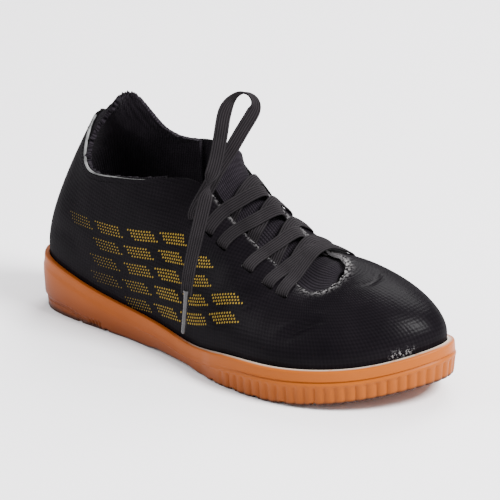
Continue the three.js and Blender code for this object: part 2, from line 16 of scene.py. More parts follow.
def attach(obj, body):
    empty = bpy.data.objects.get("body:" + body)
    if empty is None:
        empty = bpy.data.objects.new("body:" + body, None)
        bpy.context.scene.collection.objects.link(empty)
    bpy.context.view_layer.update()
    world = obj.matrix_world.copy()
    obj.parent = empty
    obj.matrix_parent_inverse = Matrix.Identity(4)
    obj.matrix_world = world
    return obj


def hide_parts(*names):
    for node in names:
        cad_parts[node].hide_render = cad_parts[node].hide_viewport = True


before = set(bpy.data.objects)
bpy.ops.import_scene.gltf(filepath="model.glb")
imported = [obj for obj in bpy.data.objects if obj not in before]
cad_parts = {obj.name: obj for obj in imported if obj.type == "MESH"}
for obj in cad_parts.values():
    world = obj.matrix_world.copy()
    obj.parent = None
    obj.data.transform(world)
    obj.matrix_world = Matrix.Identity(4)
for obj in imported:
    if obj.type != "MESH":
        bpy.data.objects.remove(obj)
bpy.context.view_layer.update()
LOG = logging.getLogger("shoe")
MM = 0.001
BODY = "root"

Array = np.ndarray
Placer = Callable[[Array, Array], Array]
Piece = bpy.types.Object
Material = bpy.types.Material
Mesh = bmesh.types.BMesh
Tone = tuple[float, ...]
Knot = tuple[float, float]

SOLE_LENGTH = 285.0
BALL_WIDTH = 103.0
HEEL_WIDTH = 71.0
HEEL_REST_ALONG = 0.2
HEEL_WALL_HEIGHT = 34.0
WAIST_WALL_HEIGHT = 14.5
TOE_WALL_HEIGHT = 19.5
HEEL_HEIGHT = 117.0
INSTEP_HEIGHT = 100.0
SOLE_WALL = 3.0
UPPER_WALL = 1.8
SEAT_GAP = 0.3
SLOT_SHARE = 0.76


class Station(NamedTuple):
    """One row of the sole's plan: back of the heel, outer side, toe, inner side."""

    along: float
    across: float
    width: float
    wall: float
    height: float


class Rib(NamedTuple):
    """One rib of the upper: where it ends at the opening's edge, and how its two ends pull."""

    along: float
    across: float
    high: float
    height: float
    rise: float
    lean: float
    drop: float
    reach: float


class Slot(NamedTuple):
    """One pair of lace slots, as stations of the plan."""

    outer: float
    inner: float


class Knit(NamedTuple):
    """Knit above the collar at one station: rise in shares of the heel's height, lean of the heel's width."""

    station: float
    rise: float
    lean: float


OUTLINE = tuple(Station(*row) for row in (
    (0.0, 0.0, HEEL_WIDTH, 1.0, HEEL_WALL_HEIGHT),
    (0.032, -0.343, HEEL_WIDTH, 0.98, HEEL_WALL_HEIGHT),
    (0.109, -0.475, HEEL_WIDTH, 0.87, HEEL_WALL_HEIGHT),
    (0.21, -0.503, HEEL_WIDTH, 0.69, HEEL_WALL_HEIGHT),
    (0.316, -0.51, HEEL_WIDTH, 1.31, WAIST_WALL_HEIGHT),
    (0.421, -0.39, BALL_WIDTH, 1.14, WAIST_WALL_HEIGHT),
    (0.523, -0.45, BALL_WIDTH, 1.0, WAIST_WALL_HEIGHT),
    (0.625, -0.507, BALL_WIDTH, 0.93, TOE_WALL_HEIGHT),
    (0.726, -0.518, BALL_WIDTH, 1.02, TOE_WALL_HEIGHT),
    (0.825, -0.457, BALL_WIDTH, 1.02, TOE_WALL_HEIGHT),
    (0.909, -0.316, BALL_WIDTH, 0.96, TOE_WALL_HEIGHT),
    (0.968, -0.136, BALL_WIDTH, 0.96, TOE_WALL_HEIGHT),
    (0.999, 0.07, BALL_WIDTH, 0.99, TOE_WALL_HEIGHT),
    (0.978, 0.252, BALL_WIDTH, 0.99, TOE_WALL_HEIGHT),
    (0.91, 0.403, BALL_WIDTH, 0.96, TOE_WALL_HEIGHT),
    (0.811, 0.477, BALL_WIDTH, 1.0, TOE_WALL_HEIGHT),
    (0.712, 0.477, BALL_WIDTH, 1.02, TOE_WALL_HEIGHT),
    (0.614, 0.417, BALL_WIDTH, 0.93, TOE_WALL_HEIGHT),
    (0.516, 0.337, BALL_WIDTH, 1.0, WAIST_WALL_HEIGHT),
    (0.414, 0.297, BALL_WIDTH, 1.14, WAIST_WALL_HEIGHT),
    (0.312, 0.432, HEEL_WIDTH, 1.31, WAIST_WALL_HEIGHT),
    (0.21, 0.475, HEEL_WIDTH, 0.69, HEEL_WALL_HEIGHT),
    (0.109, 0.475, HEEL_WIDTH, 0.87, HEEL_WALL_HEIGHT),
    (0.032, 0.336, HEEL_WIDTH, 0.98, HEEL_WALL_HEIGHT),
))

RIBS = tuple(Rib(*row) for row in (
    (0.105, 0.02, 1.0, HEEL_HEIGHT, 0.22, 0.01, 0.22, 0.14),
    (0.123, -0.126, 0.89, HEEL_HEIGHT, 0.2, 0.02, 0.2, 0.1),
    (0.175, -0.257, 0.79, HEEL_HEIGHT, 0.18, 0.03, 0.18, 0.04),
    (0.26, -0.3, 0.8, HEEL_HEIGHT, 0.2, 0.03, 0.2, 0.03),
    (0.361, -0.286, 0.98, INSTEP_HEIGHT, 0.22, 0.03, 0.2, 0.04),
    (0.449, -0.175, 1.0, INSTEP_HEIGHT, 0.25, 0.03, 0.18, 0.1),
    (0.512, -0.112, 0.84, INSTEP_HEIGHT, 0.2, 0.02, 0.1, 0.16),
    (0.596, -0.117, 0.695, INSTEP_HEIGHT, 0.17, 0.02, 0.06, 0.17),
    (0.681, -0.141, 0.585, INSTEP_HEIGHT, 0.14, 0.02, 0.04, 0.17),
    (0.74, -0.165, 0.54, INSTEP_HEIGHT, 0.12, 0.02, 0.02, 0.15),
    (0.772, -0.126, 0.555, INSTEP_HEIGHT, 0.12, 0.02, 0.02, 0.2),
    (0.782, -0.049, 0.59, INSTEP_HEIGHT, 0.13, 0.03, 0.02, 0.28),
    (0.777, 0.019, 0.62, INSTEP_HEIGHT, 0.15, 0.03, 0.02, 0.33),
    (0.761, 0.078, 0.645, INSTEP_HEIGHT, 0.15, 0.03, 0.03, 0.31),
    (0.733, 0.117, 0.66, INSTEP_HEIGHT, 0.17, 0.03, 0.03, 0.27),
    (0.684, 0.136, 0.67, INSTEP_HEIGHT, 0.2, 0.02, 0.03, 0.2),
    (0.604, 0.136, 0.79, INSTEP_HEIGHT, 0.21, 0.02, 0.07, 0.15),
    (0.526, 0.136, 0.935, INSTEP_HEIGHT, 0.23, 0.03, 0.1, 0.13),
    (0.453, 0.189, 1.035, INSTEP_HEIGHT, 0.25, 0.03, 0.2, 0.08),
    (0.375, 0.262, 1.075, INSTEP_HEIGHT, 0.24, 0.03, 0.22, 0.03),
    (0.295, 0.282, 0.893, HEEL_HEIGHT, 0.24, 0.03, 0.22, 0.02),
    (0.218, 0.272, 0.855, HEEL_HEIGHT, 0.23, 0.03, 0.22, 0.02),
    (0.154, 0.214, 0.89, HEEL_HEIGHT, 0.22, 0.03, 0.22, 0.06),
    (0.116, 0.126, 0.966, HEEL_HEIGHT, 0.22, 0.02, 0.22, 0.11),
))

SLOTS = tuple(Slot(*row) for row in (
    (8.2, 14.75), (7.75, 15.35), (7.15, 15.95), (6.35, 16.55),
    (5.85, 17.05), (5.4, 17.5),
))

KNIT = tuple(Knit(*row) for row in (
    (-5, 0.012, 0.006), (-4, 0.017, 0.007), (-3, 0.09, 0.014), (-2, 0.205, 0.05),
    (-1, 0.14, 0.13), (0, 0.085, 0.19), (1, 0.03, 0.03), (2, 0.01, 0.006),
    (3, 0.01, 0.006), (4, 0.01, 0.006), (5, 0.01, 0.006),
))


def srgb(red: int, green: int, blue: int) -> tuple[float, float, float, float]:
    """Linear colour of three screen values.

    Args:
        red, green, blue: values from 0 to 255.

    Returns:
        The colour with alpha 1.
    """
    shares = (value / 255 for value in (red, green, blue))
    linear = tuple(v / 12.92 if v <= 0.04045 else ((v + 0.055) / 1.055) ** 2.4 for v in shares)
    return (*linear, 1.0)


def unit(vectors: Array) -> Array:
    """Vectors scaled to length 1."""
    return vectors / np.maximum(np.linalg.norm(vectors, axis=-1, keepdims=True), 1e-9)


def smoothstep(values: Array, low: float, high: float) -> Array:
    """Smooth 0 to 1 between low and high."""
    share = np.clip((values - low) / (high - low), 0, 1)
    return share * share * (3 - 2 * share)


def walked(points: Array) -> Array:
    """Way walked along a line, up to each of its points."""
    return np.concatenate([[0], np.cumsum(np.linalg.norm(np.diff(points, axis=0), axis=1))])


def bezier(corners: Sequence[Array], share: Array) -> Array:
    """Point of a cubic at a share of its run.

    Args:
        corners: its four points.
        share: shares of the run.

    Returns:
        Points of the cubic.
    """
    t = np.asarray(share)[..., None]
    a, b, c, d = corners
    return a * (1 - t) ** 3 + b * 3 * t * (1 - t) ** 2 + c * 3 * t * t * (1 - t) + d * t ** 3


class SmoothRun:
    """Smooth run through evenly spaced values, closed on itself or open at its ends."""

    def __init__(self, values: Sequence[float], closed: bool = True) -> None:
        """Solves the slopes.

        Args:
            values: the run's values.
            closed: whether the last value meets the first.
        """
        self.values = np.asarray(values, float)
        self.closed = closed
        count = len(self.values)
        matrix = np.zeros((count, count))
        rises = np.zeros(count)
        for i in range(count):
            after, before = (i + 1) % count, (i - 1) % count
            if closed or 0 < i < count - 1:
                matrix[i, [i, after, before]] = 4, 1, 1
                rises[i] = 3 * (self.values[after] - self.values[before])
            else:
                near = 1 if i == 0 else count - 2
                matrix[i, [i, near]] = 2, 1
                rises[i] = 3 * (1 if i == 0 else -1) * (self.values[near] - self.values[i])
        self.slopes = np.linalg.solve(matrix, rises)

    def __call__(self, place: Array) -> Array:
        """Value at a place on the run.

        Args:
            place: places, in steps of one value.

        Returns:
            The values there.
        """
        count = len(self.values)
        inside = np.mod(place, count) if self.closed else np.asarray(place, float)
        cell = np.clip(np.floor(inside).astype(int), 0, count - (1 if self.closed else 2))
        t = inside - cell
        after = (cell + 1) % count
        ease = t * t * (3 - 2 * t)
        bends = self.slopes[cell] * t * (1 - t) ** 2 - self.slopes[after] * t * t * (1 - t)
        return self.values[cell] + (self.values[after] - self.values[cell]) * ease + bends


class Last:
    """The form that sole and upper share, in millimetres."""

    TOE_SPRING, SPRING_START = 12.8, 0.72
    HEEL_BEVEL, BEVEL_END = 3.6, 0.077
    ARCH_LIFT, ARCH_BACK, ARCH_FRONT = 1.2, (0.37, 0.41), (0.51, 0.55)
    FOOTBED = 8.0
    THROAT_FRONT = Slot(9.4, 13.8)
    THROAT_CORNER = Slot(5.0, 18.0)
    RIB_DOWN = 0.4
    THROAT_PULL = 0.36
    STEP = 0.02

    def __init__(self) -> None:
        """Makes the runs of every column of the two tables."""
        self.stations = len(OUTLINE)
        self.plan_x = SmoothRun([(row.along - HEEL_REST_ALONG) * SOLE_LENGTH for row in OUTLINE])
        self.plan_y = SmoothRun([row.across * row.width for row in OUTLINE])
        self.wall = SmoothRun([row.wall * row.height for row in OUTLINE])
        self.end_x = SmoothRun([(row.along - HEEL_REST_ALONG) * SOLE_LENGTH for row in RIBS])
        self.end_y = SmoothRun([row.across * BALL_WIDTH for row in RIBS])
        self.end_z = SmoothRun([row.high * row.height for row in RIBS])
        self.rise = SmoothRun([row.rise * HEEL_HEIGHT for row in RIBS])
        self.lean = SmoothRun([row.lean * BALL_WIDTH for row in RIBS])
        self.drop = SmoothRun([row.drop * HEEL_HEIGHT for row in RIBS])
        self.reach = SmoothRun([row.reach * BALL_WIDTH for row in RIBS])
        self.arc_stations = np.linspace(0, self.stations, 1201)
        self.arcs = walked(self.plan(self.arc_stations, 0, 0))
        self.perimeter = float(self.arcs[-1])

    def arc(self, station: Array) -> Array:
        """Way along the plan from the back of the heel to a station."""
        return np.interp(station, self.arc_stations, self.arcs)

    def outward(self, station: Array) -> Array:
        """Level unit vector out of the plan.

        Args:
            station: places round the plan.

        Returns:
            The vectors.
        """
        dx = self.plan_x(station + self.STEP) - self.plan_x(station - self.STEP)
        dy = self.plan_y(station + self.STEP) - self.plan_y(station - self.STEP)
        return unit(np.stack([dy, -dx, np.zeros_like(dx)], -1))

    def plan(self, station: Array, inset: Array | float, height: Array | float) -> Array:
        """Point of the plan, moved in by inset and up to height.

        Args:
            station: places round the plan.
            inset: way in from the plan's edge.
            height: height above the floor.

        Returns:
            Points in millimetres.
        """
        station = np.asarray(station, float)
        level = np.broadcast_to(height, station.shape)
        points = np.stack([self.plan_x(station), self.plan_y(station), level], -1)
        return points - self.outward(station) * np.broadcast_to(inset, station.shape)[..., None]

    def spring(self, x: Array) -> Array:
        """Rise of the forefoot towards the toe.

        Args:
            x: places along the sole.

        Returns:
            The rise there.
        """
        share = x / SOLE_LENGTH + HEEL_REST_ALONG
        past = np.maximum(0, (share - self.SPRING_START) / (1 - self.SPRING_START))
        return self.TOE_SPRING * past * past

    def tread(self, x: Array) -> Array:
        """Height of the tread's underside.

        Args:
            x: places along the sole.

        Returns:
            The heights.
        """
        share = x / SOLE_LENGTH + HEEL_REST_ALONG
        behind = np.maximum(0, (self.BEVEL_END - share) / self.BEVEL_END)
        arch = smoothstep(share, *self.ARCH_BACK) - smoothstep(share, *self.ARCH_FRONT)
        return self.spring(x) + self.HEEL_BEVEL * behind * behind + self.ARCH_LIFT * arch

    def footbed(self, x: Array) -> Array:
        """Height of the cup's floor."""
        return self.FOOTBED + self.spring(x)

    def wall_top(self, station: Array) -> Array:
        """Height of the cup's rim."""
        return self.spring(self.plan_x(station)) + self.wall(station)

    def rib(self, station: Array) -> tuple[Array, Array, Array, Array]:
        """Four points of the cubic that each rib follows above the cup.

        Args:
            station: places round the plan.

        Returns:
            Foot, pull of the foot, pull of the end, and end.
        """
        out = self.outward(station)
        foot = self.plan(station, SOLE_WALL + SEAT_GAP, self.wall_top(station) + SEAT_GAP)
        end = np.stack([self.end_x(station), self.end_y(station), self.end_z(station)], -1)
        up = np.array([0.0, 0.0, 1.0])
        foot_pull = foot + out * self.lean(station)[..., None] + up * self.rise(station)[..., None]
        end_pull = end + out * self.reach(station)[..., None] - up * self.drop(station)[..., None]
        return foot, foot_pull, end_pull, end

    def shell(self, station: Array, share: Array) -> Array:
        """Outside of the upper at a station and a share of its rib."""
        station, share = np.broadcast_arrays(np.asarray(station, float), np.asarray(share, float))
        return bezier(self.rib(station), share)

    def shell_normal(self, station: Array, share: Array) -> Array:
        """Unit normal out of the upper.

        Args:
            station: places round the plan.
            share: shares of the ribs.

        Returns:
            The normals.
        """
        step = self.STEP
        along = self.shell(station + step, share) - self.shell(station - step, share)
        above, below = np.minimum(share + step, 1), np.maximum(share - step, 0)
        return unit(np.cross(along, self.shell(station, above) - self.shell(station, below)))

    def edge_tangent(self, station: Array) -> Array:
        """Unit vector with which a rib ends at the opening's edge."""
        return unit(self.rib(station)[3] - self.rib(station)[2])

    def ruled(self, u: Array, v: Array, inset: float) -> Array:
        """Point between the outer and the inner edge of the plan, at height 0.

        Args:
            u, v: place on the grid, from 0 to 1.
            inset: way in from the edge.

        Returns:
            Points in millimetres.
        """
        half = self.stations / 2
        outer, inner = self.plan(u * half, inset, 0), self.plan(self.stations - u * half, inset, 0)
        return outer + (inner - outer) * v[:, None]

    def throat(self, run: Array, side: Array) -> Array:
        """Surface across the throat, which carries on down the ribs past side -1 and side 1.

        Args:
            run: 0 at the throat's front, 1 at its corners.
            side: -1 at the outer edge, 1 at the inner edge.

        Returns:
            Points in millimetres.
        """
        run, side = np.broadcast_arrays(np.asarray(run, float), np.asarray(side, float))
        outer, inner = (a + (b - a) * run for a, b in zip(self.THROAT_FRONT, self.THROAT_CORNER))
        start, stop = self.rib(outer)[3], self.rib(inner)[3]
        arm = self.THROAT_PULL * np.linalg.norm(stop - start, axis=-1, keepdims=True)
        corners = (start, start + self.edge_tangent(outer) * arm, stop + self.edge_tangent(inner) * arm, stop)
        bridge = bezier(corners, np.clip((side + 1) / 2, 0, 1))
        down_outer = self.shell(outer, np.clip(1 + (side + 1) * self.RIB_DOWN, 0, 1))
        down_inner = self.shell(inner, np.clip(1 - (side - 1) * self.RIB_DOWN, 0, 1))
        points = np.where(side[..., None] < -1, down_outer, bridge)
        return np.where(side[..., None] > 1, down_inner, points)

    def throat_normal(self, run: Array, side: Array) -> Array:
        """Unit normal out of the throat's surface.

        Args:
            run, side: places on the throat.

        Returns:
            The normals.
        """
        step = 0.03
        across = self.throat(run, side + step) - self.throat(run, side - step)
        back = self.throat(run + step, side) - self.throat(run - step, side)
        return unit(np.cross(across, back))

    def runs_of(self, slot: Slot) -> list[float]:
        """Throat runs at a pair of slots, on the outer and the inner side."""
        ends = zip(slot, self.THROAT_FRONT, self.THROAT_CORNER)
        return [(station - front) / (corner - front) for station, front, corner in ends]


LAST = Last()


def surface_mesh(columns: int, rows: int, place: Placer, chart: Placer | None = None, closed: bool = False,
                 second_chart: Placer | None = None) -> Mesh:
    """Grid bent onto a surface.

    Args:
        columns: faces along u.
        rows: faces along v.
        place: gives points in millimetres for u and v from 0 to 1.
        chart: gives the pattern's coordinates for u and v.
        closed: whether the first and last column meet.
        second_chart: gives a second pattern's coordinates.

    Returns:
        The bmesh, in metres, which the caller frees.
    """
    bm = bmesh.new()
    bmesh.ops.create_grid(bm, x_segments=columns, y_segments=rows, size=1.0)
    bm.verts.ensure_lookup_table()
    grid = np.array([vert.co[:2] for vert in bm.verts]) / 2 + 0.5
    u, v = grid[:, 0], grid[:, 1]
    for vert, point in zip(bm.verts, place(u, v) * MM):
        vert.co = point
    for name, charted in (("Surface", chart), ("Quarter", second_chart)):
        if charted:
            layer = bm.loops.layers.uv.new(name)
            places = charted(u, v)
            for face in bm.faces:
                for loop in face.loops:
                    loop[layer].uv = places[loop.vert.index]
    if closed:
        bmesh.ops.remove_doubles(bm, verts=bm.verts, dist=1e-6)
    return bm


def finish_mesh(bm: Mesh, name: str, sharp_degrees: float = 40) -> Piece:
    """Makes the piece's object from its bmesh, smooth except at sharp edges.

    Args:
        bm: the bmesh, which is freed.
        name: the piece's name.
        sharp_degrees: the angle from which an edge stays sharp.

    Returns:
        The object, at the origin.
    """
    mesh = bpy.data.meshes.new(name)
    bm.to_mesh(mesh)
    bm.free()
    piece = bpy.data.objects.new(name, mesh)
    bpy.context.collection.objects.link(piece)
    smooth(piece, sharp_degrees)
    return piece


def smooth(piece: Piece, sharp_degrees: float) -> None:
    """Shades a piece smooth, with sharp edges kept."""
    piece.data.shade_smooth()
    piece.data.set_sharp_from_angle(angle=math.radians(sharp_degrees))


def apply_modifiers(piece: Piece, sharp_degrees: float) -> None:
    """Turns what a piece's modifiers make into its own mesh.

    Args:
        piece: the piece.
        sharp_degrees: the angle from which an edge stays sharp.
    """
    graph = bpy.context.evaluated_depsgraph_get()
    mesh = bpy.data.meshes.new_from_object(piece.evaluated_get(graph), depsgraph=graph)
    piece.modifiers.clear()
    piece.data = mesh
    smooth(piece, sharp_degrees)


def modify(piece: Piece, kind: str, **settings: object) -> None:
    """Adds a modifier of a kind with its settings.

    Args:
        piece: the piece.
        kind: Blender's name of the modifier.
        settings: its settings.
    """
    modifier = piece.modifiers.new(kind.lower(), kind)
    for name, value in settings.items():
        setattr(modifier, name, value)


class Part:
    """One visible piece: its mesh, and how it is dressed."""

    name: str
    slot: str
    nodes: tuple[str, ...]
    sharp: float

    def mesh(self) -> Mesh:
        """The piece's bmesh, in metres."""
        raise NotImplementedError

    def work(self, piece: Piece) -> None:
        """What is done to the piece once it has its finishes."""

    def build(self, *finishes: Material) -> Piece:
        """Makes the piece, with its finishes, its body and the nodes that it stands for.

        Args:
            finishes: its materials, the main one first.

        Returns:
            The piece.
        """
        piece = finish_mesh(self.mesh(), self.name, self.sharp)
        for finish in finishes:
            piece.data.materials.append(finish)
        self.work(piece)
        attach(piece, BODY)
        if self.nodes:
            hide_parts(*self.nodes)
        LOG.info("%s: %d faces", piece.name, len(piece.data.polygons))
        return piece


def even_path(points: Array, spacing: float, passes: int, extras: Array | None = None) -> tuple[Array, Array]:
    """Points spaced evenly along a broken line, then smoothed.

    Args:
        points: the line's corners in millimetres.
        spacing: the space between the new points.
        passes: how often each inner point moves to the mean of its neighbours.
        extras: vectors that go with the points.

    Returns:
        The points, and the vectors that go with them.
    """
    extras = points if extras is None else extras
    keep = np.diff(walked(points), prepend=-1) > 1e-6
    points, extras = points[keep], extras[keep]
    way = walked(points)
    places = np.linspace(0, way[-1], max(3, int(round(way[-1] / spacing)) + 1))
    both = []
    for values in (points, extras):
        run = np.stack([np.interp(places, way, column) for column in values.T], -1)
        for _ in range(passes):
            run[1:-1] = (run[:-2] + 2 * run[1:-1] + run[2:]) / 4
        both.append(run)
    return both[0], both[1]


def tangents(points: Array) -> Array:
    """Unit directions along a line of points."""
    return unit(np.gradient(points, axis=0))


def swept_mesh(centres: Array, offset: Placer, sides: int, chart: Placer) -> Mesh:
    """Skin along a path, closed at both ends.

    Args:
        centres: the path in millimetres.
        offset: gives the way out to the skin for u round the path and a row of it.
        sides: faces round the path.
        chart: gives the pattern's coordinates for u and v.

    Returns:
        The bmesh, in metres.
    """
    last = len(centres) - 1

    def place(u: Array, v: Array) -> Array:
        """Point of the skin."""
        row = np.rint(v * last).astype(int)
        return centres[row] + offset(u, row)

    bm = surface_mesh(sides, last, place, chart, closed=True)
    bmesh.ops.holes_fill(bm, edges=[edge for edge in bm.edges if edge.is_boundary], sides=0)
    bmesh.ops.recalc_face_normals(bm, faces=bm.faces)
    return bm


def placed(point: Array, first: Array, second: Array, third: Array) -> Matrix:
    """Matrix that turns the axes to three directions and moves them to a point in millimetres."""
    turn = Matrix(np.stack([first, second, third], 1).tolist()).to_4x4()
    return Matrix.Translation(Vector(point * MM)) @ turn


@dataclass
class Ribbon:
    """Flat woven strip along a path, with raised lengthwise ribs and round selvedges."""

    centres: Array
    across: Array
    width: float = 8.0
    thickness: float = 1.3
    ribs: int = 6
    rib_height: float = 0.24
    sides: int = 60
    squareness: int = 8

    def section(self, u: Array) -> tuple[Array, Array]:
        """Place on the strip's rim, across the strip and through it.

        Args:
            u: shares of the way round the strip.

        Returns:
            The two places, in millimetres.
        """
        turn = 2 * math.pi * u
        x = -np.cos(turn) * self.width / 2
        edge = np.sqrt(np.maximum(0, 1 - (2 * x / self.width) ** self.squareness))
        ribbed = self.rib_height * 0.5 * (1 - np.cos(2 * math.pi * self.ribs * (x / self.width + 0.5)))
        return x, np.sign(np.sin(turn)) * edge * (self.thickness / 2 - self.rib_height + ribbed)

    def build(self) -> Mesh:
        """Makes the strip's closed mesh.

        Returns:
            The bmesh, in metres.
        """
        along = tangents(self.centres)
        across = unit(self.across - along * np.sum(self.across * along, -1, keepdims=True))
        up = np.cross(along, across)
        way = walked(self.centres)

        def offset(u: Array, row: Array) -> Array:
            """Way from the middle to the skin."""
            x, y = self.section(u)
            return across[row] * x[:, None] + up[row] * y[:, None]

        def chart(u: Array, v: Array) -> Array:
            """Across and along the strip, in millimetres."""
            return np.stack([self.section(u)[0], np.interp(v * (len(way) - 1), np.arange(len(way)), way)], -1)

        return swept_mesh(self.centres, offset, self.sides, chart)


def tube_mesh(centres: Array, radii: Array, sides: int) -> Mesh:
    """Round tube along a path.

    Args:
        centres: points in millimetres.
        radii: a radius for each point.
        sides: faces round it.

    Returns:
        The bmesh, in metres.
    """
    side = unit(np.cross(tangents(centres), np.array([0.0, 0.0, 1.0])))
    up = np.cross(side, tangents(centres))

    def offset(u: Array, row: Array) -> Array:
        """Way from the middle to the skin."""
        turn = 2 * math.pi * u[:, None]
        return (side[row] * np.cos(turn) + up[row] * np.sin(turn)) * radii[row][:, None]

    return swept_mesh(centres, offset, sides, lambda u, v: np.stack([u, v], -1))


def joined(parts: Sequence[Mesh]) -> Mesh:
    """One bmesh of several, which are freed.

    Args:
        parts: the bmeshes.

    Returns:
        The new bmesh.
    """
    whole = bmesh.new()
    for part in parts:
        mesh = bpy.data.meshes.new("part")
        part.to_mesh(mesh)
        part.free()
        whole.from_mesh(mesh)
        bpy.data.meshes.remove(mesh)
    return whole


def math_operator(operation: str) -> Callable[..., "Signal"]:
    """A method that lays one Math node."""
    return lambda *values: values[0].graph.math(operation, *values)


@dataclass(frozen=True)
class Signal:
    """A number or colour in a material's graph, whose arithmetic lays Math nodes."""

    graph: "Graph"
    socket: bpy.types.NodeSocket

    __add__ = math_operator("ADD")
    __sub__ = math_operator("SUBTRACT")
    __mul__ = math_operator("MULTIPLY")
    __truediv__ = math_operator("DIVIDE")
    __mod__ = math_operator("FLOORED_MODULO")
    __pow__ = math_operator("POWER")
    __abs__ = math_operator("ABSOLUTE")
    __gt__ = math_operator("GREATER_THAN")
    __lt__ = math_operator("LESS_THAN")
    floor = math_operator("FLOOR")
    root = math_operator("SQRT")


class Graph:
    """One material's nodes, laid out in code."""

    def __init__(self, name: str) -> None:
        """Starts a material with its shader, and its object coordinates in millimetres.

        Args:
            name: the material's name.
        """
        self.material = bpy.data.materials.new(name)
        self.material.use_nodes = True
        self.tree = self.material.node_tree
        self.tree.nodes.clear()
        self.shader = self.tree.nodes.new("ShaderNodeBsdfPrincipled")
        output = self.tree.nodes.new("ShaderNodeOutputMaterial")
        self.tree.links.new(self.shader.outputs["BSDF"], output.inputs["Surface"])
        place = self.lay("TexCoord", {}, "Object")
        self.place = self.lay("VectorMath", {0: place, "Scale": 1 / MM}, operation="SCALE")

    def lay(self, kind: str, inputs: dict[int | str, object], output: int | str = 0,
            **settings: object) -> Signal:
        """Lays one node.

        Args:
            kind: Blender's name of it, without its first words.
            inputs: what goes into its sockets.
            output: the socket that is used.
            settings: its other settings.

        Returns:
            What comes out of it.
        """
        node = self.tree.nodes.new("ShaderNode" + kind)
        for name, value in settings.items():
            setattr(node, name, value)
        for name, value in inputs.items():
            self.put(node.inputs[name], value)
        return Signal(self, node.outputs[output])

    def put(self, socket: bpy.types.NodeSocket, value: object) -> None:
        """Links a socket, or sets it to a constant.

        Args:
            socket: the input.
            value: a signal or a constant.
        """
        if isinstance(value, Signal):
            self.tree.links.new(value.socket, socket)
        else:
            socket.default_value = value

    def finish(self, **values: object) -> Material:
        """Sets the shader's own sockets.

        Args:
            values: their values, named with underscores for spaces.

        Returns:
            The material.
        """
        for name, value in values.items():
            self.put(self.shader.inputs[name.replace("_", " ")], value)
        return self.material

    def math(self, operation: str, *values: object) -> Signal:
        """One Math node."""
        return self.lay("Math", dict(enumerate(values)), operation=operation)

    def between(self, value: Signal, low: float, high: float) -> Signal:
        """Smooth 0 to 1 as value goes from low to high."""
        inputs = {"Value": value, "From Min": low, "From Max": high}
        return self.lay("MapRange", inputs, "Result", interpolation_type="SMOOTHSTEP")

    def mix(self, share: Signal, first: object, second: object) -> Signal:
        """Colour between two colours."""
        return self.lay("Mix", {0: share, 6: first, 7: second}, 2, data_type="RGBA")

    def parts(self, vector: Signal) -> tuple[Signal, Signal]:
        """The first two numbers of a vector."""
        first = self.lay("SeparateXYZ", {0: vector})
        return first, Signal(self, first.socket.node.outputs[1])

    def chart(self, name: str = "Surface") -> tuple[Signal, Signal]:
        """The piece's own pattern coordinates, in millimetres."""
        return self.parts(self.lay("UVMap", {}, uv_map=name))

    def attribute(self, name: str) -> Signal:
        """A number that the mesh holds for each of its points."""
        return self.lay("Attribute", {}, "Fac", attribute_name=name)

    def noise(self, size: float, detail: float) -> Signal:
        """Noise with spots of about a size in millimetres."""
        return self.lay("TexNoise", {"Vector": self.place, "Scale": 1 / size, "Detail": detail}, "Fac")

    def wave(self, value: Signal, pitch: float) -> Signal:
        """Sine from -1 to 1 with a pitch in millimetres."""
        return self.math("SINE", value * (2 * math.pi / pitch))

    def bump(self, height: Signal, depth: float, strength: float, under: Signal | None = None) -> Signal:
        """Normal bent by a height from 0 to 1.

        Args:
            height: the relief.
            depth: what 1 is worth, in millimetres.
            strength: Blender's strength of it.
            under: the normal below it.

        Returns:
            The normal.
        """
        inputs = {"Strength": strength, "Distance": depth * MM, "Height": height}
        return self.lay("Bump", inputs if under is None else {**inputs, "Normal": under})


@dataclass(frozen=True)
class DotField:
    """Field of printed dots on the quarters: short staggered dashes of dots, denser to the front."""

    pitch: float = 2.15
    row: float = 1.8
    radius: float = 0.6
    row_slope: float = 0.19
    end_slope: float = 1.4
    first: float = 84.0
    last: float = 226.0
    low: float = -21.7
    high: float = 32.3
    band_rows: float = 6.0
    dash_rows: float = 3.5
    dash_period: float = 34.0
    dash_length: float = 25.0
    dash_shift: float = 20.0

    def mask(self, graph: Graph) -> tuple[Signal, Signal]:
        """Where the dots lie.

        Args:
            graph: the material.

        Returns:
            1 on a dot and 0 beside it, and how strong the print is.
        """
        along, up = graph.chart("Quarter")
        rows = (up - along * self.row_slope) / self.row
        row = rows.floor()
        columns = along / self.pitch + row % 2.0 * 0.5
        column = columns.floor()
        off_x = (columns - column - 0.5) * self.pitch
        off_y = (rows - row - 0.5) * self.row
        far = (off_x * off_x + off_y * off_y).root()
        middle, base = column * self.pitch, row * self.row
        slant = middle + (base + middle * self.row_slope) * self.end_slope
        shift = (row / self.band_rows).floor() * self.dash_shift
        shifted = slant + shift
        begins = (shifted / self.dash_period).floor() * self.dash_period - shift
        inside = (base > self.low) * (base < self.high) * (begins > self.first) * (begins < self.last)
        in_dash = (row % self.band_rows < self.dash_rows) * (shifted % self.dash_period < self.dash_length)
        strong = graph.between(slant, self.first - 30, self.last - 40)
        return inside * in_dash * (far < (strong * 0.5 + 0.5) * self.radius), strong


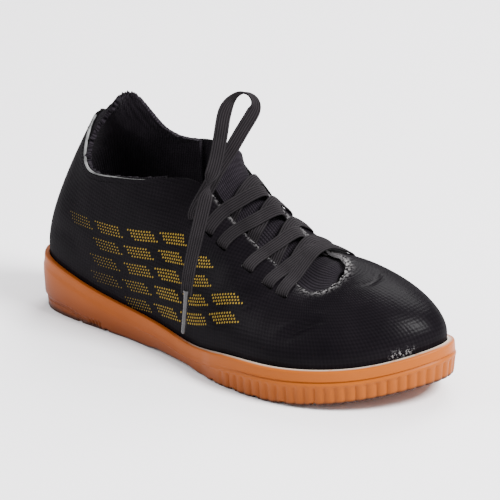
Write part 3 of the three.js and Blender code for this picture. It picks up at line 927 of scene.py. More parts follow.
@dataclass(frozen=True)
class WovenFinish:
    """Fine black mesh under a thin satin film, with printed gold dots and worn edges; the weave's gaps are
    painted darker as shade, and a pale crackle near the toe is a painted highlight.
    """

    dark: Tone = srgb(3, 2, 4)
    light: Tone = srgb(22, 19, 22)
    # pale tone of dust on worn edges, also used for the painted highlight near the toe
    dust_and_highlight: Tone = srgb(112, 110, 110)
    gold: Tone = srgb(122, 100, 36)
    old_gold: Tone = srgb(60, 49, 24)
    mesh_pitch: float = 2.2
    cloud_size: float = 22.0
    rough: float = 0.36
    rough_spread: float = 0.16
    gloss_drop: float = 0.18
    film: float = 0.075
    film_rough: float = 0.36
    dots: DotField = DotField()

    def material(self) -> Material:
        """Builds the finish.

        Returns:
            The material.
        """
        graph = Graph("woven")
        along, up = graph.chart()
        weave = (graph.wave(along, self.mesh_pitch) + graph.wave(up, self.mesh_pitch)) * 0.25 + 0.5
        cloud = graph.noise(self.cloud_size, 4)
        wear, gloss = graph.attribute("wear"), graph.attribute("gloss")
        speck = graph.between(graph.noise(1.5, 4), 0.42, 0.6)
        worn = wear * speck
        # painted highlight: pale crackle over the glossy spot near the toe
        painted_highlight_crackle = gloss * graph.between(graph.noise(1.1, 2), 0.56, 0.62)
        dot, strong = self.dots.mask(graph)
        # painted shade: the tone follows the weave, darker in the mesh's gaps, with a random mottle
        tone = graph.mix(cloud * (weave * 0.6 + 0.4), self.dark, self.light)
        tone = graph.mix(dot, tone, graph.mix(strong, self.old_gold, self.gold))
        tone = graph.mix(painted_highlight_crackle, graph.mix(worn, tone, self.dust_and_highlight), self.dust_and_highlight)
        cloth = graph.bump(weave, 0.14, 0.6, graph.bump(graph.noise(16, 3), 1.1, 0.5))
        relief = graph.bump(worn, 0.5, 0.9, graph.bump(graph.noise(0.8, 3), 0.1, 0.5, cloth))
        return graph.finish(
            Base_Color=tone, Roughness=cloud * self.rough_spread + self.rough - gloss * self.gloss_drop,
            Normal=relief, Specular_IOR_Level=0.0, Coat_Weight=self.film, Coat_Roughness=self.film_rough,
            Coat_Normal=relief)


@dataclass(frozen=True)
class CutEdgeFinish:
    """Raw cut edge of the upper: pale grey core, chipped to black, and dark all over behind the throat."""

    pale: Tone = srgb(122, 120, 121)
    dark: Tone = srgb(12, 11, 12)

    def material(self) -> Material:
        """Builds the finish.

        Returns:
            The material.
        """
        graph = Graph("cut_edge")
        chips = graph.between(graph.noise(4.5, 3), 0.34, 0.5)
        share = chips * graph.between(graph.parts(graph.place)[0], 84.0, 92.0)
        return graph.finish(
            Base_Color=graph.mix(share, self.dark, self.pale), Roughness=0.8, Specular_IOR_Level=0.03,
            Normal=graph.bump(graph.noise(0.7, 3), 0.25, 0.8))


@dataclass(frozen=True)
class KnitFinish:
    """Black rib knit: columns of stitches with a soft fuzz, the low parts between ribs and stitches painted
    darker as shade.
    """

    name: str = "knit"
    dark: Tone = srgb(8, 6, 9)
    light: Tone = srgb(42, 38, 43)
    column: float = 1.7
    stitch: float = 1.3
    depth: float = 0.35

    def material(self) -> Material:
        """Builds the finish.

        Returns:
            The material.
        """
        graph = Graph(self.name)
        along, up = graph.chart()
        rib = abs(graph.wave(along, 2 * self.column))
        loops = graph.wave(up + rib * (self.stitch * 0.6), self.stitch) * 0.5 + 0.5
        height = rib * (loops * 0.5 + 0.5)
        # painted shade: the tone follows the relief, darker between ribs and stitches, with a random mottle
        tone = graph.mix(height * (graph.noise(9, 3) * 0.9 + 0.2), self.dark, self.light)
        normal = graph.bump(graph.noise(0.6, 4), 0.25, 0.6, graph.bump(height, self.depth, 0.9))
        return graph.finish(
            Base_Color=tone, Normal=normal, Roughness=0.92, Sheen_Weight=0.02, Specular_IOR_Level=0.02)


@dataclass(frozen=True)
class LaceFinish:
    """Charcoal flat lace: slanted picks across its lengthwise ribs, the grooves between ribs painted darker
    as shade.
    """

    dark: Tone = srgb(11, 10, 11)
    light: Tone = srgb(37, 34, 36)
    width: float = 8.0
    ribs: int = 6
    pick: float = 0.9

    def material(self) -> Material:
        """Builds the finish.

        Returns:
            The material.
        """
        graph = Graph("lace")
        across, along = graph.chart()
        rib = abs(graph.wave(across / self.width + 0.5, 2 / self.ribs)) ** 0.9
        way = along + abs(graph.wave(across, 2 * self.width / self.ribs)) * 0.5
        height = rib * (graph.wave(way, self.pick) * 0.125 + 0.875)
        # painted shade: the tone follows the relief, darker in the grooves, with a random mottle
        tone = graph.mix(height * (graph.noise(14, 3) * 1.1 + 0.3), self.dark, self.light)
        normal = graph.bump(graph.noise(0.5, 3), 0.12, 0.6, graph.bump(height, 0.22, 0.8))
        return graph.finish(
            Base_Color=tone, Normal=normal, Roughness=0.8, Sheen_Weight=0.01, Specular_IOR_Level=0.03)


@dataclass(frozen=True)
class GumFinish:
    """Gum rubber: warm brown with a random darker mottle and a pale glue line; painted shade darkens it
    towards the tread, a painted shadow darkens the tread's edge, and painted light makes it lighter towards
    its rim and paler towards the toe.
    """

    # deep brown: a random mottle, and painted shade towards the tread
    deep_and_shade: Tone = srgb(98, 44, 8)
    body: Tone = srgb(139, 68, 12)
    # paler tone: painted light towards the toe
    pale: Tone = srgb(158, 84, 22)
    # dark tone: painted shadow along the tread's edge
    edge: Tone = srgb(44, 17, 4)
    glue: Tone = srgb(172, 160, 146)
    cloud_size: float = 26.0
    rough: float = 0.34
    rough_spread: float = 0.2
    grain_size: float = 0.9

    def material(self) -> Material:
        """Builds the finish.

        Returns:
            The material.
        """
        graph = Graph("gum")
        up, forward = graph.chart()[1], graph.parts(graph.place)[0]
        cloud = graph.noise(self.cloud_size, 4)
        bead = graph.between(up, 1.02, 1.05) * graph.between(forward, 70.0, 110.0)
        # painted shade: darker towards the tread, lighter towards the rim
        tone = graph.mix(graph.between(up, 0.1, 0.9), self.deep_and_shade, self.body)
        # painted light: paler towards the toe, where the light falls from the right
        tone = graph.mix(graph.between(forward, 60.0, 225.0) * 0.6, tone, self.pale)
        tone = graph.mix(cloud * 0.35, tone, self.deep_and_shade)
        # painted shadow: a dark band along the tread's edge
        tone = graph.mix(graph.between(up, 0.13, 0.03), tone, self.edge)
        tone = graph.mix(bead * graph.between(graph.noise(7, 3), 0.2, 0.4), tone, self.glue)
        return graph.finish(
            Base_Color=tone, Roughness=cloud * self.rough_spread + self.rough, Specular_IOR_Level=0.12,
            Normal=graph.bump(graph.noise(self.grain_size, 3), 0.06, 0.6))


@dataclass(frozen=True)
class PlainFinish:
    """Small plastic or fabric trim of one tone with worn spots and fine grain."""

    name: str
    tone: Tone
    worn: Tone
    roughness: float
    spot: float = 3.0
    shine: float = 0.5

    def material(self) -> Material:
        """Builds the finish.

        Returns:
            The material.
        """
        graph = Graph(self.name)
        spots = graph.between(graph.noise(self.spot, 4), 0.4, 0.65)
        return graph.finish(
            Base_Color=graph.mix(spots, self.tone, self.worn), Roughness=self.roughness,
            Specular_IOR_Level=self.shine, Normal=graph.bump(graph.noise(0.6, 3), 0.08, 0.5))


class Fold(Enum):
    """What a crease does to the surface."""

    TROUGH = -1
    RIDGE = 1


@dataclass(frozen=True)
class Crease:
    """Soft trough or ridge along a line of stations and rib shares."""

    line: tuple[tuple[float, float], ...]
    depth: float
    width: float
    fold: Fold = Fold.TROUGH

    def relief(self, points: Array) -> Array:
        """Offset along the normal at each point, in millimetres.

        Args:
            points: points of the plain shell.

        Returns:
            Negative in a trough and positive on a ridge.
        """
        corners = LAST.shell(np.array([p[0] for p in self.line]), np.array([p[1] for p in self.line]))
        corners, _ = even_path(corners, 1.0, 4)
        far = np.full(len(points), 1e9)
        ends = np.zeros(len(points))
        for index, corner in enumerate(corners):
            distance = np.linalg.norm(points - corner, axis=1)
            closer = distance < far
            far = np.where(closer, distance, far)
            ends = np.where(closer, index / (len(corners) - 1), ends)
        fade = np.sqrt(np.clip(np.sin(math.pi * np.clip(ends, 0.02, 0.98)), 0, 1))
        return self.fold.value * self.depth * fade * np.exp(-((far / self.width) ** 2))


@dataclass(frozen=True)
class Worn:
    """Spots along a run of stations, at one share of the ribs: worn ones, and glossy ones that also carry a
    painted highlight.
    """

    first: float
    last: float
    spots: int
    share: float
    radius: float
    strong: float = 1.0

    def at(self, points: Array) -> Array:
        """How strongly each point is worn, or for glossy spots how glossy it is and how strongly its
        highlight is painted.

        Args:
            points: points in millimetres.

        Returns:
            From 0 to the full strength.
        """
        middles = LAST.shell(np.linspace(self.first, self.last, self.spots), self.share)
        far = reduce(np.minimum, (np.linalg.norm(points - middle, axis=1) for middle in middles))
        return self.strong * np.exp(-((far / self.radius) ** 2))


@dataclass
class Upper(Part):
    """Hollow shell of the upper: lasted form, soft creases, lace slots, worn throat."""

    name: str = "woven_upper"
    slot: str = "woven"
    nodes: tuple[str, ...] = ("upper",)
    sharp: float = 40.0
    columns: int = 420
    rows: int = 88
    cup_share: float = 0.09
    slot_length: float = 8.6
    slot_width: float = 2.4
    ripple: float = 0.16
    edge_wave: float = 0.35
    throat_middle: float = 11.5
    creases: tuple[Crease, ...] = (
        Crease(((8.5, 0.34), (8.65, 0.4), (9.0, 0.49), (9.28, 0.53), (9.6, 0.56)), 1.9, 3.0),
        Crease(((8.4, 0.42), (8.8, 0.53), (9.3, 0.61), (9.8, 0.64)), 1.2, 3.6, Fold.RIDGE),
        Crease(((11.7, 0.84), (12.0, 0.81), (12.5, 0.8), (12.9, 0.82)), 1.1, 2.4),
        Crease(((7.3, 0.42), (7.47, 0.47), (7.82, 0.64), (8.0, 0.7)), 1.0, 2.0, Fold.RIDGE),
        Crease(((14.2, 0.3), (14.6, 0.42), (15.0, 0.5)), 1.0, 4.0),
        Crease(((1.2, 0.25), (1.8, 0.34), (2.6, 0.36)), 0.7, 6.0),
        Crease(((4.6, 0.5), (5.2, 0.35), (5.8, 0.28)), 0.8, 6.0),
        Crease(((5.0, 0.86), (5.5, 0.62), (6.0, 0.45)), 0.6, 5.0, Fold.RIDGE),
        Crease(((18.4, 0.7), (18.9, 0.45), (19.6, 0.3)), 0.8, 6.0),
        Crease(((21.6, 0.4), (22.4, 0.3), (23.2, 0.34)), 0.6, 7.0),
    )
    worn: tuple[Worn, ...] = (
        Worn(8.9, 14.6, 60, 1.0, 3.1, 0.5),
        Worn(9.673, 13.344, 39, 1.0, 3.1),
        Worn(11.95, 12.5, 14, 0.815, 0.9, 0.16),
        Worn(5.3, 9.0, 90, 0.995, 1.0, 0.6),
        Worn(14.2, 17.7, 90, 0.995, 1.0, 0.6),
    )
    # glossy spot near the toe: lower roughness, and a painted highlight of pale crackle in the finish
    glossy_highlight_spots: tuple[Worn, ...] = (Worn(10.84, 11.26, 7, 0.05, 2.0),)

    def share(self, v: Array) -> Array:
        """Share of the rib for a row of the grid."""
        return np.clip((v - self.cup_share) / (1 - self.cup_share), 0, 1)

    def place(self, u: Array, v: Array) -> Array:
        """Point of the shell, creases included.

        Args:
            u, v: place on the grid, from 0 to 1.

        Returns:
            Points in millimetres.
        """
        station = u * LAST.stations
        share = self.share(v)
        plain = LAST.shell(station, share)
        inset = SOLE_WALL + SEAT_GAP
        outside = LAST.plan(station, inset, 0)
        foot = LAST.footbed(outside[:, 0]) + SEAT_GAP
        outside[:, 2] = foot + (LAST.wall_top(station) + SEAT_GAP - foot) * np.clip(v / self.cup_share, 0, 1)
        in_cup = v < self.cup_share
        points = np.where(in_cup[:, None], outside, plain)
        relief = sum(crease.relief(plain) for crease in self.creases)
        ripple = self.ripple * np.sin(station * 3.1 + share * 9) * np.sin(share * math.pi)
        ripple = ripple * smoothstep(share, 0.2, 0.9)
        near_throat = smoothstep(np.abs(station - self.throat_middle), 3.2, 2.0)
        edge_wave = self.edge_wave * smoothstep(share, 0.93, 1.0) * np.sin(station * 7.3) * near_throat
        amount = np.where(in_cup, 0, relief + ripple + edge_wave)
        return points + LAST.shell_normal(station, share) * amount[:, None]

    def chart(self, u: Array, v: Array) -> Array:
        """Way along the plan and up the rib."""
        station = u * LAST.stations
        return np.stack([LAST.arc(station), self.height(station, self.share(v))], -1)

    def quarter_chart(self, u: Array, v: Array) -> Array:
        """Way from the back of the heel on either side, and up the rib."""
        arc, height = self.chart(u, v).T
        return np.stack([np.minimum(arc, LAST.perimeter - arc), height], -1)

    def height(self, station: Array, share: Array) -> Array:
        """Way up the rib to a share of it.

        Args:
            station: places round the plan.
            share: shares of the ribs.

        Returns:
            Lengths in millimetres.
        """
        steps = np.linspace(0, 1, 13)
        points = [LAST.shell(station, share * step) for step in steps]
        return sum(np.linalg.norm(b - a, axis=-1) for a, b in zip(points, points[1:]))

    def cutters(self) -> Piece:
        """Makes the stadium plugs that cut the lace slots.

        Returns:
            The plugs as one object, which the caller removes.
        """
        bm = bmesh.new()
        size = Vector((self.slot_length, self.slot_width, 5 * UPPER_WALL)) * MM
        for station in [value for slot in SLOTS for value in slot]:
            at = np.array([station])
            normal = LAST.shell_normal(at, SLOT_SHARE)[0]
            run = unit(LAST.shell(at + 0.1, SLOT_SHARE) - LAST.shell(at - 0.1, SLOT_SHARE))[0]
            turn = placed(LAST.shell(at, SLOT_SHARE)[0], run, np.cross(normal, run), normal)
            made = bmesh.ops.create_cube(bm, size=1.0)["verts"]
            bmesh.ops.scale(bm, vec=size, verts=made)
            upright = {e for v in made for e in v.link_edges if abs((e.verts[0].co - e.verts[1].co).z) > MM}
            rounded = bmesh.ops.bevel(bm, geom=list(upright), offset=0.48 * size.y, segments=5,
                                      affect="EDGES", profile=0.5, material=-1)
            verts = {v for face in rounded["faces"] for v in face.verts} | {v for v in made if v.is_valid}
            bmesh.ops.transform(bm, matrix=turn, verts=list(verts))
        for face in bm.faces:
            face.material_index = 1
        return finish_mesh(bm, "slot_cutters")

    def wear(self, piece: Piece) -> None:
        """Writes how worn and how glossy each point is; the finish paints a highlight on the glossy spots.

        Args:
            piece: the shell, with its wall and slots.
        """
        points = np.array([vert.co[:] for vert in piece.data.vertices]) / MM
        for name, places in (("wear", self.worn), ("gloss", self.glossy_highlight_spots)):
            values = reduce(np.maximum, (place.at(points) for place in places))
            layer = piece.data.attributes.new(name, "FLOAT", "POINT")
            layer.data.foreach_set("value", values.astype(np.float32))

    def mesh(self) -> Mesh:
        """The shell before it has its wall."""
        return surface_mesh(self.columns, self.rows, self.place, self.chart, True, self.quarter_chart)

    def work(self, piece: Piece) -> None:
        """Gives the shell its wall, cuts its slots and writes its wear.

        Args:
            piece: the shell, with the finishes of its faces, its cut edges and its inner face.
        """
        cutters = self.cutters()
        for finish in piece.data.materials:
            cutters.data.materials.append(finish)
        wall = UPPER_WALL * MM
        modify(piece, "SOLIDIFY", thickness=wall, offset=-1, material_offset_rim=1, material_offset=2)
        modify(piece, "BOOLEAN", operation="DIFFERENCE", solver="EXACT", object=cutters)
        apply_modifiers(piece, 50)
        bpy.data.objects.remove(cutters)
        self.wear(piece)


class Level(Enum):
    """What a level of the side wall is measured from."""

    TREAD = "tread"
    LOW = "low"
    WALL = "wall"
    GROOVE = "groove"
    TOP = "top"
    FOOTBED = "footbed"


@dataclass
class Outsole(Part):
    """Gum cup sole: side wall with its flutes, ledge groove and heel steps, and the tread below."""

    name: str = "gum_outsole"
    slot: str = "gum"
    nodes: tuple[str, ...] = ("outsole",)
    sharp: float = 48.0
    half_columns: int = 600
    tread_columns: int = 40
    floor_columns: int = 4
    wall_bulge: float = 1.0
    tread_edge: float = 1.5
    rim_round: float = 0.8
    forefoot_step: float = 1.1
    ledge_depth: float = 6.2
    ledge_groove: float = 0.9
    groove_half_height: float = 0.7
    low_reach: float = 7.2
    low_share: float = 0.12
    flute_pitch: float = 5.6
    flute_depth: float = 0.95
    flute_stations: tuple[float, ...] = (6.85, 7.3, 16.9, 17.2)
    heel_step: float = 1.0
    heel_groove: float = 0.8
    heel_line: float = 7.9
    heel_line_drop: float = 3.6
    heel_ribs: tuple[float, ...] = (2.92, 3.02, 3.12, 3.22)
    flex_grooves: tuple[float, ...] = (0.17, 0.25, 0.6, 0.66, 0.72, 0.78, 0.84)
    flex_width: float = 3.0
    flex_depth: float = 1.4
    sipe_pitch: float = 6.0
    sipe_swing: float = 2.4
    sipe_wave: float = 27.0
    sipe_depth: float = 0.7

    def forefoot(self, x: Array) -> Array:
        """1 in front of the waist, 0 behind it."""
        return smoothstep(x / SOLE_LENGTH + HEEL_REST_ALONG, 0.56, 0.6)

    def groove_at(self, x: Array) -> Array:
        """Depth of the flex grooves at a place along the sole.

        Args:
            x: places along the sole.

        Returns:
            The depths.
        """
        middles = ((along - HEEL_REST_ALONG) * SOLE_LENGTH for along in self.flex_grooves)
        far = reduce(np.minimum, (np.abs(x - middle) for middle in middles))
        return self.flex_depth * smoothstep(far, self.flex_width / 2 + 0.4, self.flex_width / 2 - 0.4)

    def profile(self) -> list[tuple[float, Level, float]]:
        """Levels of the side wall, from the tread to the footbed.

        Returns:
            For each its inset, what its lift starts from, and its lift.
        """
        tread = ((self.tread_edge, 0.0), (0.9, 0.25), (0.4, 0.8), (0.15, self.tread_edge))
        bulge = self.wall_bulge + 0.15
        low = [(0.15 - bulge * k / 18, 0.8 * k) for k in range(1, 10)]
        wall = [(0.15 - bulge * (0.5 + 0.1 * k), k / 5) for k in range(1, 5)]
        groove = [(-0.8 + 0.08 * k, -1.3 + 0.35 * k) for k in range(8)]
        rim = ((-0.1, 2.6), (0.0, 1.3), (0.12, 0.7), (0.35, 0.25), (self.rim_round, 0.0), (1.8, -0.02),
               (SOLE_WALL - 0.25, 0.0), (SOLE_WALL, 0.3))
        runs = {Level.TREAD: tread, Level.LOW: low, Level.WALL: wall, Level.GROOVE: groove,
                Level.TOP: rim, Level.FOOTBED: ((SOLE_WALL, 0.0),)}
        return [(inset, start, lift) for start, run in runs.items() for inset, lift in run]

    def relief(self, station: Array, above: Array) -> Array:
        """Inset that flutes, heel steps and ribs add.

        Args:
            station: place round the plan.
            above: height above the tread.

        Returns:
            The inset in millimetres.
        """
        arc = LAST.arc(np.mod(station, LAST.stations))
        begin, full, fading, end = self.flute_stations
        fluted = smoothstep(station, begin, full) * smoothstep(station, end, fading)
        ledge = LAST.wall(station) - self.ledge_depth - 1.6
        band = smoothstep(above, ledge, ledge - 1.4) * smoothstep(above, -0.2, 0.6)
        lobe = np.abs(np.sin(math.pi * arc / self.flute_pitch))
        flutes = self.flute_depth * fluted * band * (1 - lobe) ** 1.3
        from_heel = np.minimum(station, LAST.stations - station)
        line = self.heel_line - self.heel_line_drop * smoothstep(from_heel, 2.1, 2.97)
        step = self.heel_step * smoothstep(above, line + 0.35, line - 0.35)
        groove = self.heel_groove * smoothstep(np.abs(above - line + 2.6), 0.7, 0.1)
        ribs = sum(smoothstep(np.abs(from_heel - at), 0.04, 0.012) for at in self.heel_ribs)
        ribbed = self.heel_groove * ribs * smoothstep(above, 5.6, 4.8)
        heel = smoothstep(from_heel, 3.3, 3.0) * (step + groove) + ribbed
        return flutes + heel * smoothstep(above, 0.0, 0.8)

    def wall_place(self, u: Array, v: Array) -> Array:
        """Point of the side wall, its rim and its inner face.

        Args:
            u, v: place on the grid, from 0 to 1.

        Returns:
            Points in millimetres.
        """
        profile = self.profile()
        level = np.rint(v * (len(profile) - 1)).astype(int)
        inset, start, lift = (np.array(column)[level] for column in zip(*profile))
        station = u * LAST.stations
        x = LAST.plan_x(station)
        low, top = LAST.tread(x), LAST.wall_top(station)
        groove_middle = top - self.ledge_depth
        wall_low, wall_high = low + self.tread_edge, groove_middle - 1.3
        reach = np.minimum(self.low_reach, wall_high - wall_low - 0.8)
        wall_middle = wall_low + reach
        levels = {
            Level.TREAD: low + lift,
            Level.LOW: wall_low + lift * reach / self.low_reach,
            Level.WALL: wall_middle + (wall_high - wall_middle) * lift,
            Level.GROOVE: groove_middle + lift,
            Level.TOP: top - lift,
        }
        heights = np.select([start == kind for kind in levels], list(levels.values()), LAST.footbed(x))
        front = self.forefoot(x)
        near = smoothstep(np.abs(heights - groove_middle), self.groove_half_height, 0.15)
        groove = self.ledge_groove * near * front * smoothstep(x, 112.0, 150.0)
        outer = (level > 0) & (level < len(profile) - 4)
        inset = inset + np.where(start == Level.GROOVE, groove, 0)
        inset = inset + np.where(outer, self.relief(station, heights - low) - self.forefoot_step * front, 0)
        points = LAST.plan(station, inset, 0)
        flex = self.groove_at(points[:, 0]) * smoothstep(heights - low, 2.6, 1.0)
        points[:, 2] = np.where(start == Level.TREAD, heights + flex, heights)
        return points

    def wall_chart(self, u: Array, v: Array) -> Array:
        """Way round the plan, and share of the wall's height, past 1 on the rim.

        Args:
            u, v: place on the grid, from 0 to 1.

        Returns:
            The pattern's coordinates.
        """
        levels = len(self.profile())
        level = np.rint(v * (levels - 1)).astype(int)
        points = self.wall_place(u, v)
        low, top = LAST.tread(points[:, 0]), LAST.wall_top(u * LAST.stations)
        share = (points[:, 2] - low) / (top - low)
        share = np.where(level > levels - 6, 1.0 + 0.02 * (level - levels + 6), share)
        return np.stack([LAST.arc(u * LAST.stations), share], -1)

    def tread_place(self, u: Array, v: Array) -> Array:
        """Point of the tread, with its flex grooves and its fine wavy ones.

        Args:
            u, v: place on the grid, from 0 to 1.

        Returns:
            Points in millimetres.
        """
        points = LAST.ruled(u, v, self.tread_edge)
        wave = points[:, 0] + self.sipe_swing * np.cos(2 * math.pi * points[:, 1] / self.sipe_wave)
        near = np.abs(np.mod(wave / self.sipe_pitch, 1) - 0.5) * self.sipe_pitch
        sipes = self.sipe_depth * smoothstep(near, 1.0, 0.45) * smoothstep(np.minimum(v, 1 - v), 0.04, 0.09)
        points[:, 2] = LAST.tread(points[:, 0]) + np.maximum(self.groove_at(points[:, 0]), sipes)
        return points

    def floor_place(self, u: Array, v: Array) -> Array:
        """Point of the cup's floor.

        Args:
            u, v: place on the grid, from 0 to 1.

        Returns:
            Points in millimetres.
        """
        points = LAST.ruled(u, v, SOLE_WALL)
        points[:, 2] = LAST.footbed(points[:, 0])
        return points

    def low_chart(self, u: Array, v: Array) -> Array:
        """Way along the sole, low on the wall's scale."""
        return np.stack([u * SOLE_LENGTH, np.full_like(v, self.low_share)], -1)

    def mesh(self) -> Mesh:
        """Makes wall, tread and floor as one.

        Returns:
            The bmesh, in metres.
        """
        half = self.half_columns
        whole = joined([
            surface_mesh(2 * half, len(self.profile()) - 1, self.wall_place, self.wall_chart, True),
            surface_mesh(half, self.tread_columns, self.tread_place, self.low_chart),
            surface_mesh(half, self.floor_columns, self.floor_place, self.low_chart)])
        bmesh.ops.remove_doubles(whole, verts=whole.verts, dist=2e-5)
        bmesh.ops.recalc_face_normals(whole, faces=whole.faces)
        return whole


@dataclass
class KnitSheet(Part):
    """Padded knit: a sheet with a wall and rounded edges, which a class of its own shapes."""

    name: str
    nodes: tuple[str, ...]
    columns: int
    rows: int
    slot: str = "knit"
    sharp: float = 40.0
    wall: float = 2.6
    edge_round: float = 1.0
    fill: float = 0.4

    def place(self, u: Array, v: Array) -> Array:
        """Point of the knit's outer face."""
        raise NotImplementedError

    def chart(self, u: Array, v: Array) -> Array:
        """Across and up the knit, in millimetres."""
        raise NotImplementedError

    def mesh(self) -> Mesh:
        """The sheet before it has its wall."""
        return surface_mesh(self.columns, self.rows, self.place, self.chart)

    def work(self, piece: Piece) -> None:
        """Args:
            piece: the sheet.
        """
        modify(piece, "SOLIDIFY", thickness=self.wall * MM, offset=-1)
        modify(piece, "BEVEL", width=self.edge_round * MM, segments=3, limit_method="ANGLE",
               angle_limit=math.radians(50), use_clamp_overlap=True)
        apply_modifiers(piece, 60)


@dataclass
class SockLining(KnitSheet):
    """Knit inner collar, which stands above the shell as the heel tab."""

    name: str = "knit_collar"
    nodes: tuple[str, ...] = ("sock_lining",)
    columns: int = 200
    rows: int = 70
    reach: float = 4.333
    low: float = 0.4
    below: float = 0.66
    middle_along: float = 0.26
    station_width: float = 26.0
    chart_height: float = 88.0
    lumps: float = 0.3
    top_waves: tuple[tuple[float, float, float], ...] = (
        (0.45, 31.0, 0.0), (0.35, 53.0, 1.0), (0.3, 17.0, 2.0),
    )

    def __post_init__(self) -> None:
        """Makes the runs of the knit's table."""
        self.rise = SmoothRun([row.rise * HEEL_HEIGHT for row in KNIT], False)
        self.lean = SmoothRun([row.lean * HEEL_WIDTH for row in KNIT], False)

    def place(self, u: Array, v: Array) -> Array:
        """Point of the knit's outer face: behind the shell, then above it with lumps and a ragged top.

        Args:
            u, v: place on the grid, from 0 to 1.

        Returns:
            Points in millimetres.
        """
        station = (2 * u - 1) * self.reach
        share = self.low + (1 - self.low) * np.minimum(v / self.below, 1)
        normal = LAST.shell_normal(station, share)
        points = LAST.shell(station, share) - normal * (UPPER_WALL + SEAT_GAP)
        above = np.clip((v - self.below) / (1 - self.below), 0, 1)
        inward = np.array([(self.middle_along - HEEL_REST_ALONG) * SOLE_LENGTH, 0.0, 0.0]) - points
        inward[:, 2] = 0
        points = points + unit(inward) * (above * self.lean(station - KNIT[0].station))[:, None]
        points[:, 2] += above * self.rise(station - KNIT[0].station)
        ragged = sum(high * np.sin(station * turns + start) for high, turns, start in self.top_waves)
        points[:, 2] += ragged * smoothstep(above, 0.75, 1.0) * smoothstep(np.abs(station), 2.6, 1.6)
        lumps = np.sin(points[:, 2] * 1.3 + station * 5) * np.sin(station * 23 + points[:, 2] * 0.4)
        return points + normal * (self.lumps * lumps * smoothstep(above, 0.1, 0.6))[:, None]

    def chart(self, u: Array, v: Array) -> Array:
        """Way round the collar and up the knit, in millimetres."""
        return np.stack([(2 * u - 1) * self.reach * self.station_width, v * self.chart_height], -1)


@dataclass
class Tongue(KnitSheet):
    """Knit tongue under the throat, which stands up past the ankle's line."""

    name: str = "knit_tongue"
    nodes: tuple[str, ...] = ("tongue",)
    columns: int = 70
    rows: int = 130
    front: float = -0.3
    back: float = 0.93
    free_from: float = 0.8
    narrow_from: float = 0.6
    lift: float = 8.0
    wide: float = 1.34
    narrow: float = 0.84
    lace_room: float = 1.3
    top_wave: float = 0.5
    chart_width: float = 42.0
    chart_height: float = 100.0

    def place(self, u: Array, v: Array) -> Array:
        """Point of the tongue's outer face: under the throat, then free of it with a wavy top.

        Args:
            u, v: place on the grid, from 0 to 1.

        Returns:
            Points in millimetres.
        """
        run = self.front + (self.back - self.front) * v
        half = self.wide + (self.narrow - self.wide) * smoothstep(run, self.narrow_from, self.free_from)
        side = (2 * u - 1) * half
        free = np.clip((run - self.free_from) / (self.back - self.free_from), 0, 1)
        depth = UPPER_WALL + SEAT_GAP + self.lace_room * smoothstep(run, self.free_from, self.narrow_from)
        points = LAST.throat(run, side) - LAST.throat_normal(run, side) * depth[:, None]
        wave = self.top_wave * np.sin(side * 9 + run * 4) * smoothstep(free, 0.6, 1.0)
        points[:, 2] += self.lift * free ** 3 + wave
        return points

    def chart(self, u: Array, v: Array) -> Array:
        """Across and along the tongue, in millimetres."""
        return np.stack([u * self.chart_width, v * self.chart_height], -1)


@dataclass
class Lacing(Part):
    """Crossings of the flat lace, each out of its slot, over the throat and in under the other edge."""

    name: str = "lace_crossings"
    slot: str = "lace"
    nodes: tuple[str, ...] = ("lace_bars",)
    sharp: float = 60.0
    clearance: float = 0.95
    cross_lift: float = 1.7
    below: float = -3.2
    slot_side: float = 1.6
    pieces_a_knot: int = 24
    spacing: float = 0.8
    passes: int = 6
    step: float = 0.05

    def bar(self, start: Knot, stop: Knot, knots: Sequence[Knot]) -> Mesh:
        """One crossing of the lace.

        Args:
            start: side and run where it begins.
            stop: side and run where it ends.
            knots: side and lift at each turn of its way.

        Returns:
            Its bmesh.
        """
        places = np.arange(self.pieces_a_knot * (len(knots) - 1) + 1) / self.pieces_a_knot
        side, lift = (np.interp(places, np.arange(len(knots)), column) for column in zip(*knots))

        def line(sides: Array) -> tuple[Array, Array]:
            """Runs of the bar's line at some sides, and its points on the throat."""
            runs = start[1] + (stop[1] - start[1]) * (sides - start[0]) / (stop[0] - start[0])
            return runs, LAST.throat(runs, sides)

        run, points = line(side)
        normal = LAST.throat_normal(run, side)
        widths = unit(np.cross(normal, line(side + self.step)[1] - line(side - self.step)[1]))
        centres, across = even_path(points + normal * lift[:, None], self.spacing, self.passes, widths)
        return Ribbon(centres, unit(across)).build()

    def mesh(self) -> Mesh:
        """Makes all the crossings as one.

        Returns:
            The bmesh, in metres.
        """
        low, high, slot = self.clearance, self.clearance + self.cross_lift, self.slot_side
        out = [(-slot, self.below), (-slot, 0.2), (-slot + 0.1, low), (-1.05, low)]
        over = [(-0.6, high), (0.4, high + 0.9), (1.0, high + 0.6), (slot - 0.1, low), (slot, 0.2),
                (slot, self.below)]
        dive_in = [(-0.75, high), (0.45, high), (0.72, low), (0.92, -2.0), (1.12, -2.7), (1.25, -2.9)]
        dive_out = [(slot, self.below), (slot, 0.2), (slot - 0.1, low), (1.05, low + 0.2), (0.7, low + 0.3),
                    (0.2, low), (-0.7, low), (-0.92, -2.0), (-1.12, -2.7), (-1.25, -2.9)]
        outer, inner = zip(*(LAST.runs_of(row) for row in SLOTS))
        starts = [*inner[1:4], inner[4] * 0.6 + inner[5] * 0.4]
        parts = [self.bar((-slot, outer[0]), (slot, inner[0]), out + over)]
        for i in range(1, 5):
            stop = inner[i] * 0.3 + inner[i - 1] * 0.7
            parts.append(self.bar((-slot, outer[i]), (1.0, stop), out + dive_in))
        for i, start in enumerate(starts, 1):
            stop = outer[i] * 0.45 + outer[i - 1] * 0.55
            parts.append(self.bar((slot, start), (-1.0, stop), dive_out))
        return joined(parts)


